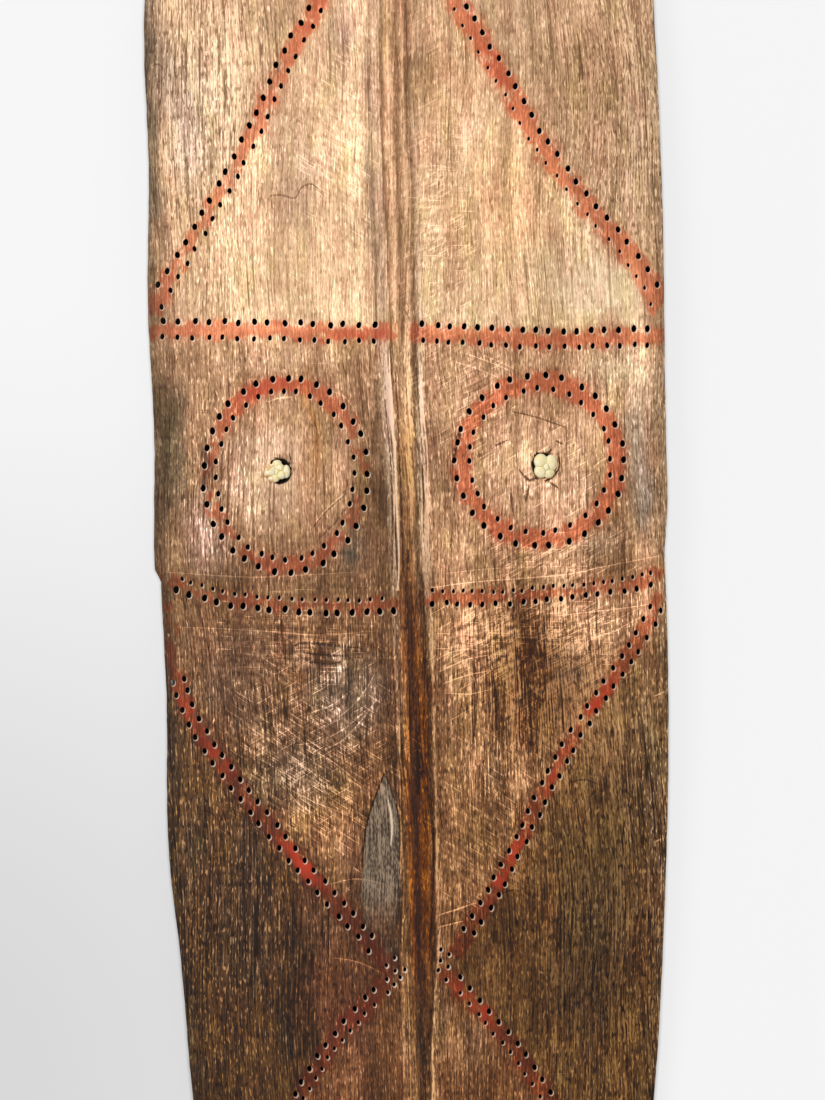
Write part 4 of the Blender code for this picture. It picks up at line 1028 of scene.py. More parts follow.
def make_board():
    """The whole board as one skin: front, edge, back, the drilled holes and the tie holes."""
    holes = drilled_holes()
    holes[:, 2:] *= np.interp(holes[:, 1], *np.array(PIT_SHARES).T)[:, None]
    room = flare_room(holes)
    rims = ring_points(holes, 0, 0, HOLE_SIDES, HOLE_SEED)
    flares = ring_points(holes, room, RIM_SHIFT * room, HOLE_SIDES, HOLE_SEED)
    lean = hole_lean(holes[:, 0], holes[:, 1])[:, None]
    ends = ring_points(holes * (1, 1, HOLE_TAPER, HOLE_TAPER), 0, 0, HOLE_SIDES, HOLE_SEED)
    ends += np.stack((-lean, lean), -1)
    outline, inward = board_outline()
    seam = outline + inward * SEAM_INSET
    centres = [(tie.x - side * MOUTH_SHIFT, tie.y) for side, tie in zip((-1, 1), TIE_PLACES)]
    mouths = [circle(centre, MOUTH_WIDTH / 2, MOUTH_SIDES, 0.0007, seed)
              for centre, seed in zip(centres, MOUTH_SEEDS)]
    bores = [circle(tie, TIE_BORE / 2, MOUTH_SIDES) for tie in TIE_PLACES]
    tie_ovals = [(*centre, *2 * (MOUTH_WIDTH + MOUTH_ROOM,)) for centre in centres]

    grid = hex_grid(FRONT_STEP, 51)
    centre, half_top, left, right = rib_at(grid[:, 1])
    outside = np.abs(grid[:, 0] - centre) - half_top - np.where(grid[:, 0] < centre, left, right)
    plain = np.concatenate((grid[outside > RIB_ROUNDING + RIB_ROOM], rib_columns()))
    marked = clear_of_ovals(mark_points(), tie_ovals, -0.0008)
    loose = np.concatenate((clear_of_ovals(plain, tie_ovals, 0), marked))
    loose = clear_of_edge(loose, seam, inward, FRONT_EDGE_ROOM)
    loose = clear_of_ovals(loose, holes + (0, 0, *2 * (2 * RIM_FLARE,)), FRONT_HOLE_ROOM)
    front_plan, front_faces = triangulate([seam, *mouths, *rims, *flares], loose)
    back_loose = clear_of_edge(hex_grid(BACK_STEP, 61), seam, inward, BACK_EDGE_ROOM)
    back_loose = clear_of_ovals(back_loose, holes + lean * (-1, 1, 0, 0), BACK_HOLE_ROOM)
    back_loose = clear_of_ovals(back_loose, tie_ovals, 0)
    back_plan, back_faces = triangulate([seam, *bores, *ends], back_loose)

    skirt = []
    for inset, drop in EDGE_PROFILE:
        ring = outline + inward * inset
        top, bottom = front_height(*ring.T), back_height(*ring.T)
        skirt.append(np.column_stack((ring, top - drop * (top - bottom))))
    front = np.column_stack((front_plan, front_height(*front_plan.T)))
    back = np.column_stack((back_plan, back_height(*back_plan.T)))
    starts = np.cumsum([0, len(seam), *[MOUTH_SIDES] * 2, *[HOLE_SIDES] * len(holes)])
    first_rim = starts[3]
    rim_range = slice(first_rim, first_rim + rims.shape[0] * HOLE_SIDES)
    front[rim_range, 2] -= np.repeat(RIM_SINK * room, HOLE_SIDES)
    collars = [np.column_stack((bore, np.full(MOUTH_SIDES, surface_at(*tie) - MOUTH_DEPTH)))
               for tie, bore in zip(TIE_PLACES, bores)]
    blocks = [front, back, *skirt, *collars]
    offsets = np.cumsum([0, *[len(block) for block in blocks]])
    places = np.concatenate(blocks)

    front_faces, back_faces = (keep_outside(f, starts, rims.shape[0]) for f in (front_faces, back_faces))
    front_faces = facing_up(front, front_faces)
    back_faces = facing_up(back, back_faces)[:, ::-1] + offsets[1]
    rim_ids = (first_rim + np.arange(rims.shape[0] * HOLE_SIDES)).reshape(-1, HOLE_SIDES)
    end_ids = rim_ids + offsets[1]
    next_rim, next_end = np.roll(rim_ids, -1, 1), np.roll(end_ids, -1, 1)
    walls = np.stack((rim_ids, end_ids, next_end, next_rim), -1).reshape(-1, 4)[:, ::-1]

    front_uv, back_uv = map_places(places)
    wall_uv = front_uv.copy()
    hole_centres = np.repeat(holes[:, :2], HOLE_SIDES, 0)
    deep = end_ids.ravel()
    wall_uv[deep] = map_places(hole_centres + MAP_HOLE_SHARE * (places[deep, :2] - hole_centres))[0]
    groups = [(faces, uv[faces])
              for faces, uv in ((front_faces, front_uv), (back_faces, back_uv), (walls, wall_uv))]
    seam_ids = np.arange(len(seam))
    loops = [seam_ids, *[seam_ids + offsets[2 + k] for k in range(len(skirt))], seam_ids + offsets[1]]
    groups.append(along_loops(loops, MAP_SKIRT, MAP_STRIP, 3))
    for k in range(2):
        mouth = starts[1 + k] + np.arange(MOUTH_SIDES)
        loops = [mouth, offsets[2 + len(skirt) + k] + np.arange(MOUTH_SIDES), mouth + offsets[1]]
        faces, spots = along_loops(loops, MAP_COLLARS[k], MAP_STRIP, 1)
        groups.append((faces[:, ::-1], (spots * (1, MAP_COLLAR_LENGTH))[:, ::-1]))
    mesh = mesh_from("shield_board", places, groups)

    collar_ids = offsets[2 + len(skirt)] + np.arange(2 * MOUTH_SIDES)
    set_hole_shade(mesh, np.append(deep, collar_ids), np.append(rim_ids, collar_ids))
    # Painted highlight: each rim is palest at its lower right, where the light from the upper left falls into
    # the hole
    rim = np.zeros(len(places))
    x, y = np.moveaxis(places[rim_ids, :2] - holes[:, None, :2], -1, 0)
    rim[rim_ids] = 0.55 + 0.45 * (x - y) / np.hypot(x, y) / 1.415
    set_values(mesh, "rim_light_side", rim)
    return in_scene("shield_board", mesh)


def keep_outside(faces, starts, count):
    """Leaves out the triangles that lie inside a hole's ring."""
    owner = np.searchsorted(starts, faces, side="right") - 1
    inside = (owner >= 1) & (owner <= 2 + count)
    same = (owner[:, 0] == owner[:, 1]) & (owner[:, 1] == owner[:, 2])
    return faces[~(same & inside[:, 0])]


def facing_up(places, faces):
    turn = twice_area(*(places[faces[:, i], :2] for i in range(3)))
    return np.where(turn[:, None] > 0, faces, faces[:, ::-1])


def map_places(places):
    """Where a place of the front and of the back lies on the map."""
    along = (places[:, 1] + HALF_LENGTH) / LENGTH * (1 - 2 * MAP_MARGIN) + MAP_MARGIN
    across = (places[:, 0] + WIDTH / 2) / WIDTH * MAP_WIDTH
    starts = (MAP_MARGIN, 2 * MAP_MARGIN + MAP_WIDTH)
    return [np.column_stack((start + across, along)) for start in starts]


def set_values(mesh, name, values, domain="POINT"):
    attribute = mesh.attributes.new(name, "FLOAT", domain)
    attribute.data.foreach_set("value", np.ascontiguousarray(values, np.float32))


def set_hole_shade(mesh, deep, mouth):
    """Marks the deep corners of the walls of the holes and the tie holes, which get painted shade, but not
    the same places in the faces of the back.
    """
    is_deep, is_mouth = np.zeros((2, len(mesh.vertices)), bool)
    is_deep[deep], is_mouth[mouth] = True, True
    corners = np.empty(len(mesh.loops), np.int32)
    mesh.loops.foreach_get("vertex_index", corners)
    first = np.empty(len(mesh.polygons), np.int32)
    mesh.polygons.foreach_get("loop_start", first)
    sides = np.diff(np.append(first, len(corners)))
    in_wall = np.repeat(np.maximum.reduceat(is_mouth[corners], first), sides)
    set_values(mesh, "hole_shade", is_deep[corners] & in_wall, "CORNER")


def upper_left(x, y):
    """1 in the upper left part, whose holes go straighter through and have almost no painted highlight on
    their rims, and 0 elsewhere.
    """
    return smooth(0.5 - x / UPPER_LEFT_FADE) * smooth((y - UPPER_LEFT_Y) / UPPER_LEFT_FADE)


def hole_lean(x, y):
    """How far the far end of a drilled hole lies to the upper left of its near end."""
    left_room = np.clip((x + half_width(x, y)) / 0.020 - 0.2, 0.3, 1)
    return HOLE_LEAN * (1 - 0.8 * upper_left(x, y)) * left_room


# Colour of the wood, given as it should look in the light

def shade(red, green, blue):
    """A colour from 0 to 255 as the shader takes it."""
    value = np.array((red, green, blue)) / 255
    return np.where(value <= 0.04045, value / 12.92, ((value + 0.055) / 1.055) ** 2.4)


def gradient(y, stops):
    """A colour that changes along the board, from stops of place and colour that go up it."""
    at = [stop for stop, _ in stops]
    colours = np.array([shade(*colour) for _, colour in stops])
    return np.stack([np.interp(y, at, colours[:, i]) for i in range(3)], 1)


def inside(x, y, corners, soft):
    """1 inside the polygon, 0 outside it, with an edge that is soft wide."""
    distance = np.full_like(x, np.inf)
    within = np.zeros(len(x), bool)
    for (ax, ay), (bx, by) in zip(corners, corners[1:] + corners[:1]):
        distance = np.minimum(distance, to_segment(x, y, (ax, ay), (bx, by))[0])
        crosses = (ay > y) != (by > y)
        with np.errstate(divide="ignore", invalid="ignore"):
            within ^= crosses & (x < (bx - ax) * (y - ay) / (by - ay) + ax)
    return smooth(0.5 + np.where(within, distance, -distance) / soft)


def spot(x, y, centre, reach, turn=0.0):
    """1 at the centre of an oval, fading to 0 at its reach."""
    dx, dy = x - centre[0], y - centre[1]
    a = (dx * math.cos(turn) + dy * math.sin(turn)) / reach[0]
    b = (dy * math.cos(turn) - dx * math.sin(turn)) / reach[1]
    return smooth(1 - np.hypot(a, b))


def wandered(x, y, reach, size, seed):
    """Places shaken by noise, so that what is drawn there gets an uneven edge."""
    return (x + reach * value_noise(x / size, y / size, seed),
            y + reach * value_noise(x / size, y / size, seed + 1))


def wood_tone(x, y):
    """The front's colour without paint or grain."""
    px, py = wandered(x, y, reach=0.005, size=0.022, seed=71)
    tone = gradient(y, PATINA_AND_SHADING)
    for corners, soft, amount, stops in FIELDS:
        mask = amount * inside(px, py, corners, soft)[:, None]
        tone += (gradient(y, stops) - tone) * mask
    for centre, reach, turn, colour, amount in WASHES:
        mask = amount * spot(px, py, centre, reach, turn)[:, None]
        tone += (shade(*colour) - tone) * mask
    for right, down, wide, high, turn, colour, amount, coats in SMEARS:
        reach = (wide * PIXEL, high * PIXEL)
        bare = (1 - amount * spot(px, py, on_board(right, down), reach, turn)) ** coats
        tone += (shade(*colour) - tone) * (1 - bare)[:, None]
    inset = (half_width(x, y) - np.abs(x)) / np.where(x < 0, *EDGE_TONE_WIDTHS)
    mask = smooth(1.15 - inset + 0.45 * value_noise(x / 0.006, y / 0.025, 73))[:, None]
    edge_tone = np.where((x < 0)[:, None], gradient(y, LEFT_EDGE_TONES), gradient(y, RIGHT_EDGE_TONES))
    tone += (edge_tone - tone) * mask * EDGE_TONE_STRENGTH
    place = rib_place(x, y)
    strips = ((LEFT_FLANK_TONES, 0.0, 1.0), (RIGHT_FLANK_TONES, 5.0, 6.4), (RIB_TONES, 1.0, 5.0))
    for stops, low, high in strips:
        mask = np.clip(0.5 + 1.5 * (place - low), 0, 1) * np.clip(0.5 + 1.5 * (high - place), 0, 1)
        tone += (gradient(y, stops) - tone) * mask[:, None]
    return tone


def smooth_path(points):
    """A smooth curve through points given as shares of the half width and half length."""
    places = [(across * float(half_width(np.sign(across), along * HALF_LENGTH)), along * HALF_LENGTH)
              for across, along in points]
    return curve_through(places, 6)


def distance_to(x, y, path):
    """Distance of each place to the path, and how far along it the nearest point is, from 0 to 1."""
    nearest, at = np.full_like(x, np.inf), np.zeros_like(x)
    low, high = path.min(0) - 0.02, path.max(0) + 0.02
    near = np.nonzero((x > low[0]) & (x < high[0]) & (y > low[1]) & (y < high[1]))[0]
    nx, ny = x[near], y[near]
    best, where = np.full_like(nx, np.inf), np.zeros_like(nx)
    for i, (start, end) in enumerate(zip(path, path[1:])):
        away, t = to_segment(nx, ny, start, end)
        closer = away < best
        best, where = np.where(closer, away, best), np.where(closer, (i + t) / (len(path) - 1), where)
    nearest[near], at[near] = best, where
    return nearest, at


def painted_lines(x, y):
    """Each band's distance, how far along it the nearest point is, its width and its strengths."""
    for width, strengths, points in PAINT_LINES.values():
        yield *distance_to(x, y, smooth_path(points)), width, strengths
    for tie, (shift, radii, width, strengths) in zip(TIE_PLACES, PAINT_RINGS):
        dx, dy = x - tie.x - shift[0], y - tie.y - shift[1]
        reach = np.hypot(dx / radii[0], dy / radii[1])
        distance = np.abs(reach - 1) * np.hypot(dx, dy) / np.maximum(reach, 1e-6)
        yield distance, np.arctan2(dy, dx) / (2 * np.pi) % 1, width, strengths


def paint_band(x, y):
    """1 in the middle of a painted band, 0 at its edge and below that outside, and the paint's strength."""
    band, strength = np.full_like(x, NO_PAINT), np.zeros_like(x)
    places = wandered(x, y, reach=0.0008, size=0.009, seed=77)
    for distance, at, width, strengths in painted_lines(*places):
        value = 1 - distance / (width / 2)
        here = np.interp(at, np.linspace(0, 1, len(strengths)), strengths)
        strength = np.where(value > band, here, strength)
        band = np.maximum(band, value)
    return band, strength


def area_strength(x, y, areas):
    """The strongest of some soft ovals, each a centre, a reach, a turn and a strength."""
    px, py = wandered(x, y, reach=0.004, size=0.015, seed=75)
    strength = np.zeros_like(x)
    for centre, reach, turn, amount in areas:
        strength = np.maximum(strength, amount * spot(px, py, centre, reach, turn))
    return strength


def colour_board(mesh):
    """Works out at each vertex what the material reads: tone, paint, grain, scratches, stains, wear and the
    painted highlight on the holes' rims.
    """
    places = np.empty(len(mesh.vertices) * 3, np.float32)
    mesh.vertices.foreach_get("co", places)
    x, y, z = places.reshape(-1, 3).T.astype(float)
    front = smooth((z - field_height(x, y) + FRONT_DEPTH) / FRONT_FADE)
    tone = wood_tone(x, y)
    back_tone = gradient(y, BACK_TONES)
    tone = back_tone + (tone - back_tone) * front[:, None]
    contrast = np.interp(y, *np.array(CONTRAST).T) * front + BACK_CONTRAST * (1 - front)
    for right, down, wide, high, amount in CALM:
        contrast *= 1 - amount * spot(x, y, on_board(right, down), (wide * PIXEL, high * PIXEL))
    set_values(mesh, "contrast", contrast)
    colours = mesh.attributes.new("tone", "FLOAT_COLOR", "POINT")
    colours.data.foreach_set("color", np.column_stack((tone, np.ones(len(x)))).astype(np.float32).ravel())
    paint, strength = paint_band(x, y)
    set_values(mesh, "paint", np.where(front > 0.5, paint, NO_PAINT))
    set_values(mesh, "paint_strength", strength)
    for name, areas in AREAS.items():
        everywhere = PLAIN_GRAIN if name == "rough_grain" else 0.0
        set_values(mesh, name, everywhere + front * area_strength(x, y, areas))
    set_values(mesh, "rib_place", np.where(front > 0.5, rib_place(x, y), OFF_RIB))
    set_values(mesh, "marks", mark_amounts(x, y)[1] * front)
    set_values(mesh, "scoop", scoop_share(x, y) * front)
    # Strength of the painted highlight on the holes' rims
    set_values(mesh, "rim_highlight", front * rim_highlights(x, y))


def rim_highlights(x, y):
    """How strong the painted highlight on the rims of the holes is, most of all at the lower crossing, where
    it stands for the light seen through them.
    """
    crossing = smooth(2.5 - np.abs(x) / 0.014) * smooth(1.8 - np.abs(y + 0.33) / 0.02)
    return 0.9 - 0.75 * upper_left(x, y) + 0.9 * crossing


# Materials

class Nodes:
    """Adds nodes to a new material. Each call gives the socket that the next one takes."""

    def __init__(self, name):
        self.material = bpy.data.materials.new(name)
        self.material.use_nodes = True
        self.tree = self.material.node_tree
        self.shader = self.tree.nodes["Principled BSDF"]
        self.places = self.add("TexCoord").outputs["Object"]

    def add(self, kind, inputs=(), **settings):
        node = self.tree.nodes.new("ShaderNode" + kind)
        for key, value in settings.items():
            setattr(node, key, value)
        for socket, value in dict(inputs).items():
            self.give(node.inputs[socket], value)
        return node

    def give(self, socket, value):
        if isinstance(value, bpy.types.NodeSocket):
            self.tree.links.new(value, socket)
        else:
            socket.default_value = value

    def sum(self, *values):
        return self.chain("ADD", values)

    def times(self, *values):
        return self.chain("MULTIPLY", values)

    def chain(self, operation, values):
        total = values[0]
        for value in values[1:]:
            total = self.math(operation, total, value)
        return total

    def math(self, operation, *values):
        return self.add("Math", enumerate(values), operation=operation).outputs[0]

    def vector(self, operation, *values):
        return self.add("VectorMath", enumerate(values), operation=operation).outputs

    def parts(self, vector):
        return self.add("SeparateXYZ", {0: vector}).outputs

    def less(self, value, other):
        return self.math("SUBTRACT", value, other)

    def step(self, value, low, high, to_low=0.0, to_high=1.0):
        inputs = enumerate((value, low, high, to_low, to_high))
        return self.add("MapRange", inputs, interpolation_type="SMOOTHSTEP").outputs[0]

    def mix(self, amount, first, second):
        return self.blend("MIX", amount, first, second)

    def tint(self, colour, by, amount=1.0):
        return self.blend("MULTIPLY", amount, colour, (*by, 1))

    def blend(self, kind, amount, first, second):
        inputs = {0: amount, 6: first, 7: second}
        return self.add("Mix", inputs, data_type="RGBA", blend_type=kind).outputs[2]

    def cells(self, size, turn=0.0, shift=0.0, places=None):
        """Flat coordinates in cells of the given width and length in metres, turned about Z."""
        inputs = {"Vector": places or self.places, "Rotation": (0, 0, turn), "Scale": (*size, 1),
                  "Location": (shift, shift, 0)}
        return self.add("Mapping", inputs, vector_type="TEXTURE").outputs[0]

    def noise(self, size, detail=0.0, roughness=0.5, turn=0.0, shift=0.0, places=None):
        """Noise about 0 with features of the given width and length in metres."""
        cells = self.cells(size, turn, shift, places)
        inputs = {"Vector": cells, "Scale": 1.0, "Detail": detail, "Roughness": roughness}
        return self.less(self.add("TexNoise", inputs, noise_dimensions="2D").outputs[0], 0.5)

    def plus(self, total, *terms):
        """The total with each term added, times its weight."""
        for value, weight in terms:
            total = self.math("MULTIPLY_ADD", value, weight, total)
        return total

    def near(self, value, reach):
        """1 where the value is 0, falling to 0 at the reach on both sides."""
        return self.step(self.math("ABSOLUTE", value), 0.0, reach, 1.0, 0.0)

    def curve(self, value, stops):
        """The value run through a line of stops. It gives what the stops say, from -2 to 2."""
        low, high = stops[0][0], stops[-1][0]
        ramp = self.add("ValToRGB", {0: self.add("MapRange", {0: value, 1: low, 2: high}).outputs[0]})
        elements = ramp.color_ramp.elements
        for place, _ in stops[1:-1]:
            elements.new((place - low) / (high - low))
        for element, (_, amount) in zip(elements, stops):
            element.color = (*(0.5 + amount / 4,) * 3, 1)
        return self.math("MULTIPLY_ADD", ramp.outputs[0], 4.0, -2.0)

    def strokes(self, size, turn, width, presence, bend=0.0, shift=0.0):
        """Thin strokes, at most one in each cell, as many as the presence from 0 to 1 tells."""
        cells = self.cells(size, turn, shift)
        cell = self.vector("FLOOR", cells)[0]
        chance = self.add("TexWhiteNoise", {"Vector": cell}, noise_dimensions="2D").outputs["Color"]
        chance = self.add("SeparateColor", {0: chance}).outputs
        away = self.parts(self.vector("SUBTRACT", cells, cell)[0])
        along = self.less(away[1], 0.5)
        across = self.plus(away[0], (chance[0], -0.5), (self.times(along, chance[1]), 0.3),
                           (self.times(along, along), bend))
        across = self.less(across, 0.3)
        past_end = self.less(self.math("ABSOLUTE", along), self.times(chance[1], 0.45))
        ends = self.step(past_end, -0.12, 0.0, 1.0, 0.0)
        here = self.step(self.sum(chance[2], presence), 0.95, 1.05)
        return self.times(self.near(across, width), ends, here)

    def value(self, name):
        return self.add("Attribute", attribute_name=name).outputs["Fac"]

    def colour(self, name):
        return self.add("Attribute", attribute_name=name).outputs["Color"]

    def set(self, name, value):
        self.give(self.shader.inputs[name], value)

    def finish(self, colour, roughness, height, distance):
        """Gives the shader its colour, roughness and bump, and returns the material."""
        self.set("Base Color", colour)
        self.set("Roughness", roughness)
        bump = self.add("Bump", {"Height": height, "Distance": distance, "Strength": 1.0})
        self.set("Normal", bump.outputs[0])
        return self.material


def scratched(n, clumps):
    """Scratches in the three directions that the board's areas name, as single strokes and as hatching."""
    scratches, hatching = 0.0, 0.0
    for name, turn, bend, shift in SCRATCHES:
        amount = n.value(name)
        stroke = n.strokes((0.0028, 0.018), turn, 0.10, amount, bend, shift)
        scratches = n.chain("MAXIMUM", (stroke, scratches))
        fine = n.noise((0.0008, 0.0075), 0, turn=turn, shift=shift)
        broad = n.noise((0.0026, 0.026), 0, turn=turn, shift=shift + 2.2)
        marks = n.plus(0.0, (n.times(n.step(fine, 0.02, 0.18), clumps), 1.0), (broad, 1.9))
        hatching = n.plus(hatching, (marks, amount))
    return scratches, hatching


def rib_streaks_and_light(n, across):
    """How dark the streaks are, partly painted highlights and shade on the rib's ridges, arrises and hollow,
    from the place across the rib and the height on the board.
    """
    upward = n.parts(n.places)[1]
    streaks = n.curve(across, LOWER_RIB)
    for low, high, stops in RIB_PARTS:
        inputs = {0: n.step(upward, low, high), 2: streaks, 3: n.curve(across, stops)}
        streaks = n.add("Mix", inputs).outputs[0]
    return streaks


def carved_wood():
    """The board's wood: its noises, how dark they make it, then its wear, paint, marks, the painted
    highlights on the holes' rims and the painted shade in the holes.
    """
    n = Nodes("carved_wood")
    sway = n.noise((0.09, 0.20), 1)
    swayed = n.vector("MULTIPLY_ADD", sway, (0.016, 0, 0), n.places)[0]
    rough = n.value("rough_grain")
    bands = n.noise((0.013, 0.40), 1, places=swayed)
    rings = n.noise((0.0045, 0.14), 1, shift=1.1, places=swayed)
    threads = n.noise((0.0010, 0.032), 1, 0.6, shift=2.3, places=swayed)
    streaks = n.noise((0.0026, 0.040), 1, 0.6, shift=4.1, places=swayed)
    flecks = n.noise((0.0008, 0.0030), 0, shift=3.7)
    mottle = n.noise((0.0065, 0.0110), 2, 0.65)
    patches = n.noise((0.030, 0.055), 1, 0.6, shift=5.3)
    lines = n.near(rings, 0.022)
    pores = n.step(n.noise((0.0011, 0.0055), 0, shift=6.1, places=swayed), 0.14, 0.25)
    gleams = n.step(n.noise((0.0012, 0.0065), 1, 0.6, shift=7.3, places=swayed), 0.10, 0.22)

    spots = n.noise((0.014, 0.014), 1, shift=9.9)
    clumps = n.step(spots, -0.18, 0.12)
    scratches, hatching = scratched(n, clumps)

    amount = n.value("stain")
    stain = n.times(amount, n.step(n.plus(0.0, (threads, 0.8), (mottle, 0.8), (bands, 0.8)), -0.12, 0.10))
    place = n.value("rib_place")
    across = n.plus(0.0, (place, 1.0), (n.noise((0.008, 0.05), 1, shift=8.1), 0.5), (threads, 0.5))
    # The rib's streaks, partly painted light and shade
    rib = rib_streaks_and_light(n, across)
    curls = n.near(n.noise((0.0050, 0.0038), 1, 0.6, shift=9.4), 0.018)
    mark = n.value("marks")
    worn_marks = n.times(mark, n.step(n.plus(0.0, (threads, 0.6), (flecks, 0.6)), -0.30, 0.02))
    strong = n.plus(0.18, (rough, 0.82))
    grain = n.plus(-0.25, (threads, 5.0), (lines, 2.8), (pores, 1.9), (gleams, -2.4))
    streaky = n.times(streaks, n.plus(0.25, (rough, 0.60)))
    signal = n.plus(0.20, (bands, 1.6), (mottle, 1.5), (streaky, 2.2), (patches, 1.6), (flecks, 1.3),
                    (stain, 1.8), (n.times(grain, strong), 1.0), (scratches, -1.7), (hatching, -1.05),
                    (curls, 0.5), (rib, 1.2), (worn_marks, 1.2))
    signal = n.add("Clamp", {0: signal, 1: -1.45, 2: 2.6}).outputs[0]
    darker = n.add("Gamma", {0: (*DARKENING, 1), 1: n.times(signal, n.value("contrast"))}).outputs[0]
    colour = n.blend("MULTIPLY", 1.0, n.colour("tone"), darker)
    hue = n.plus(0.0, (n.noise((0.014, 0.040), 1, 0.6, shift=12.3), 1.0), (mottle, 0.35), (threads, 0.3))
    colour = n.tint(colour, (1.00, 0.92, 0.94), n.step(hue, 0.02, 0.26))
    colour = n.tint(colour, (0.96, 0.99, 0.87), n.step(hue, -0.04, -0.26))
    colour = n.tint(colour, (1.00, 0.86, 0.60), n.times(stain, 0.9))

    amount = n.value("grey_wear")
    grey = n.times(amount, n.step(n.plus(0.0, (patches, 0.5), (mottle, 0.9), (flecks, 0.3)), -0.08, 0.06))
    grey = n.chain("MAXIMUM", (grey, n.value("scoop")))
    ash = n.plus(0.05, (threads, 2.4), (flecks, 1.4), (mottle, 1.3), (hatching, -0.3), (worn_marks, 0.5))
    ash = n.step(ash, -0.7, 0.6)
    colour = n.mix(n.times(grey, 0.9), colour, n.mix(ash, PALE_ASH, DARK_ASH))
    colour = n.mix(n.step(mark, -1.6, -3.6), colour, PALE_MARK)

    paint, strength = n.value("paint"), n.value("paint_strength")
    broken = n.plus(-0.35, (paint, 0.65), (strength, 0.75), (mottle, 2.2), (spots, 1.5), (flecks, 0.6),
                    (scratches, -0.3))
    uneven = n.plus(0.0, (paint, 1.0), (mottle, 1.4), (patches, 0.6))
    painted = n.times(n.step(broken, 0.02, 0.46), n.step(uneven, -0.45, 0.15))
    halo = n.step(n.plus(0.0, (paint, 1.0), (patches, 2.0), (mottle, 1.0)), -1.1, 0.3)
    halo = n.times(halo, n.step(strength, 0.2, 0.9))
    colour = n.tint(colour, (0.98, 0.76, 0.72), n.times(halo, 0.7))
    red = n.mix(0.30, n.tint(colour, (1.00, 0.56, 0.44)), n.tint(n.colour("tone"), (1.0, 0.46, 0.36)))
    colour = n.mix(n.times(painted, 0.92), colour, red)
    vivid = n.times(n.value("vivid_paint"), n.step(broken, 0.30, 0.75), n.step(paint, -0.1, 0.4))
    colour = n.mix(vivid, colour, VIVID_RED)

    colour = n.tint(colour, DARK_MARK, n.step(mark, 2.6, 4.6))
    # Painted highlight on the holes' rims, palest at their lower right, and white at the lower crossing for
    # the light seen through the holes
    rim = n.times(n.value("rim_light_side"), n.value("rim_highlight"))
    colour = n.blend("SCREEN", n.step(rim, 0.12, 0.62), colour, RIM_SHEEN)
    colour = n.mix(n.step(rim, 0.95, 1.5), colour, RIM_HIGHLIGHT_WHITE)
    # Painted shade: the walls of the holes and tie holes turn near black towards their far end
    depth = n.value("hole_shade")
    colour = n.tint(colour, HOLE_SHADE, n.step(depth, 0.02, 0.26))

    n.set("Specular IOR Level", 0.25)
    roughness = n.plus(0.60, (mottle, 0.5), (lines, 0.12))
    return n.finish(colour, roughness, n.plus(0.0, (threads, -1.0), (flecks, -0.2)), 0.0004)


board = make_board()
colour_board(board.data)
board.data.materials.append(carved_wood())
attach(board, "root")
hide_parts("board")


# Grip and ties

def grip_top(x):
    """Height of the grip's upper side: seated on the board at both ends, bent away from it between."""
    seat_x = TIE_SPREAD / 2 + GRIP_OVERHANG - GRIP_SEAT_LENGTH
    reach = x - TIE_MIDDLE_X
    row = np.full_like(x, TIE_Y)
    seated = field_height(x, row) - BOARD_THICKNESS - TIE_CLEARANCE
    seat_at = TIE_MIDDLE_X + np.where(reach < 0, -seat_x, seat_x)
    seat = field_height(seat_at, row) - BOARD_THICKNESS - TIE_CLEARANCE
    middle = GRIP_FLOOR_CLEARANCE + GRIP_HAND_THICKNESS
    bent = middle + (seat - middle) * np.minimum(1, np.abs(reach) / seat_x) ** GRIP_BEND_POWER
    return np.where(np.abs(reach) < seat_x, bent, seated)


def make_grip():
    """The bar, oval in the hand and squarer at its seats, with the bores for the ties."""
    end_x = TIE_SPREAD / 2 + GRIP_OVERHANG
    reach = end_x * np.linspace(-1, 1, GRIP_STATIONS)
    x = TIE_MIDDLE_X + reach
    t = np.minimum(1, np.abs(reach) / (end_x - GRIP_SEAT_LENGTH)) ** 2
    width = GRIP_HAND_WIDTH + (GRIP_END_WIDTH - GRIP_HAND_WIDTH) * t
    thickness = GRIP_HAND_THICKNESS + (GRIP_END_THICKNESS - GRIP_HAND_THICKNESS) * t
    top = grip_top(x)
    angle = np.arange(GRIP_SIDES) * 2 * np.pi / GRIP_SIDES
    power = (GRIP_SECTION_POWER - GRIP_SQUARING * t)[:, None]
    across = np.sign(np.cos(angle)) * np.abs(np.cos(angle)) ** power
    up = np.sign(np.sin(angle)) * np.abs(np.sin(angle)) ** power
    wear = 1 - GRIP_WEAR * (1 + value_noise(x[:, None] / 0.012, angle * 1.5, 81))
    round_end = np.clip((end_x - np.abs(reach)) / GRIP_END_ROUNDING, 0, 1)[:, None]
    wear = wear * (1 - GRIP_END_SHRINKAGE * (1 - np.sqrt(1 - (1 - round_end) ** 2)))
    y = TIE_Y + width[:, None] / 2 * across * wear
    z = top[:, None] - thickness[:, None] / 2 + thickness[:, None] / 2 * up * wear
    rings = np.stack((np.broadcast_to(x[:, None], y.shape), y, z), -1)
    grip = lofted("shield_grip", rings)
    cutters = []
    for tie in TIE_PLACES:
        bore = circle(tie, TIE_BORE / 2, MOUTH_SIDES)
        levels = [np.column_stack((bore, np.full(MOUTH_SIDES, level))) for level in (CROWN_Z, 0.0)]
        cutters.append(lofted("cutter", np.array(levels)))
        cut = grip.modifiers.new("bore", "BOOLEAN")
        cut.object = cutters[-1]
    bpy.context.view_layer.update()
    bored = bpy.data.meshes.new_from_object(grip.evaluated_get(bpy.context.evaluated_depsgraph_get()))
    grip.modifiers.clear()
    grip.data = smoothed(bored)
    for cutter in cutters:
        bpy.data.objects.remove(cutter)
    return grip


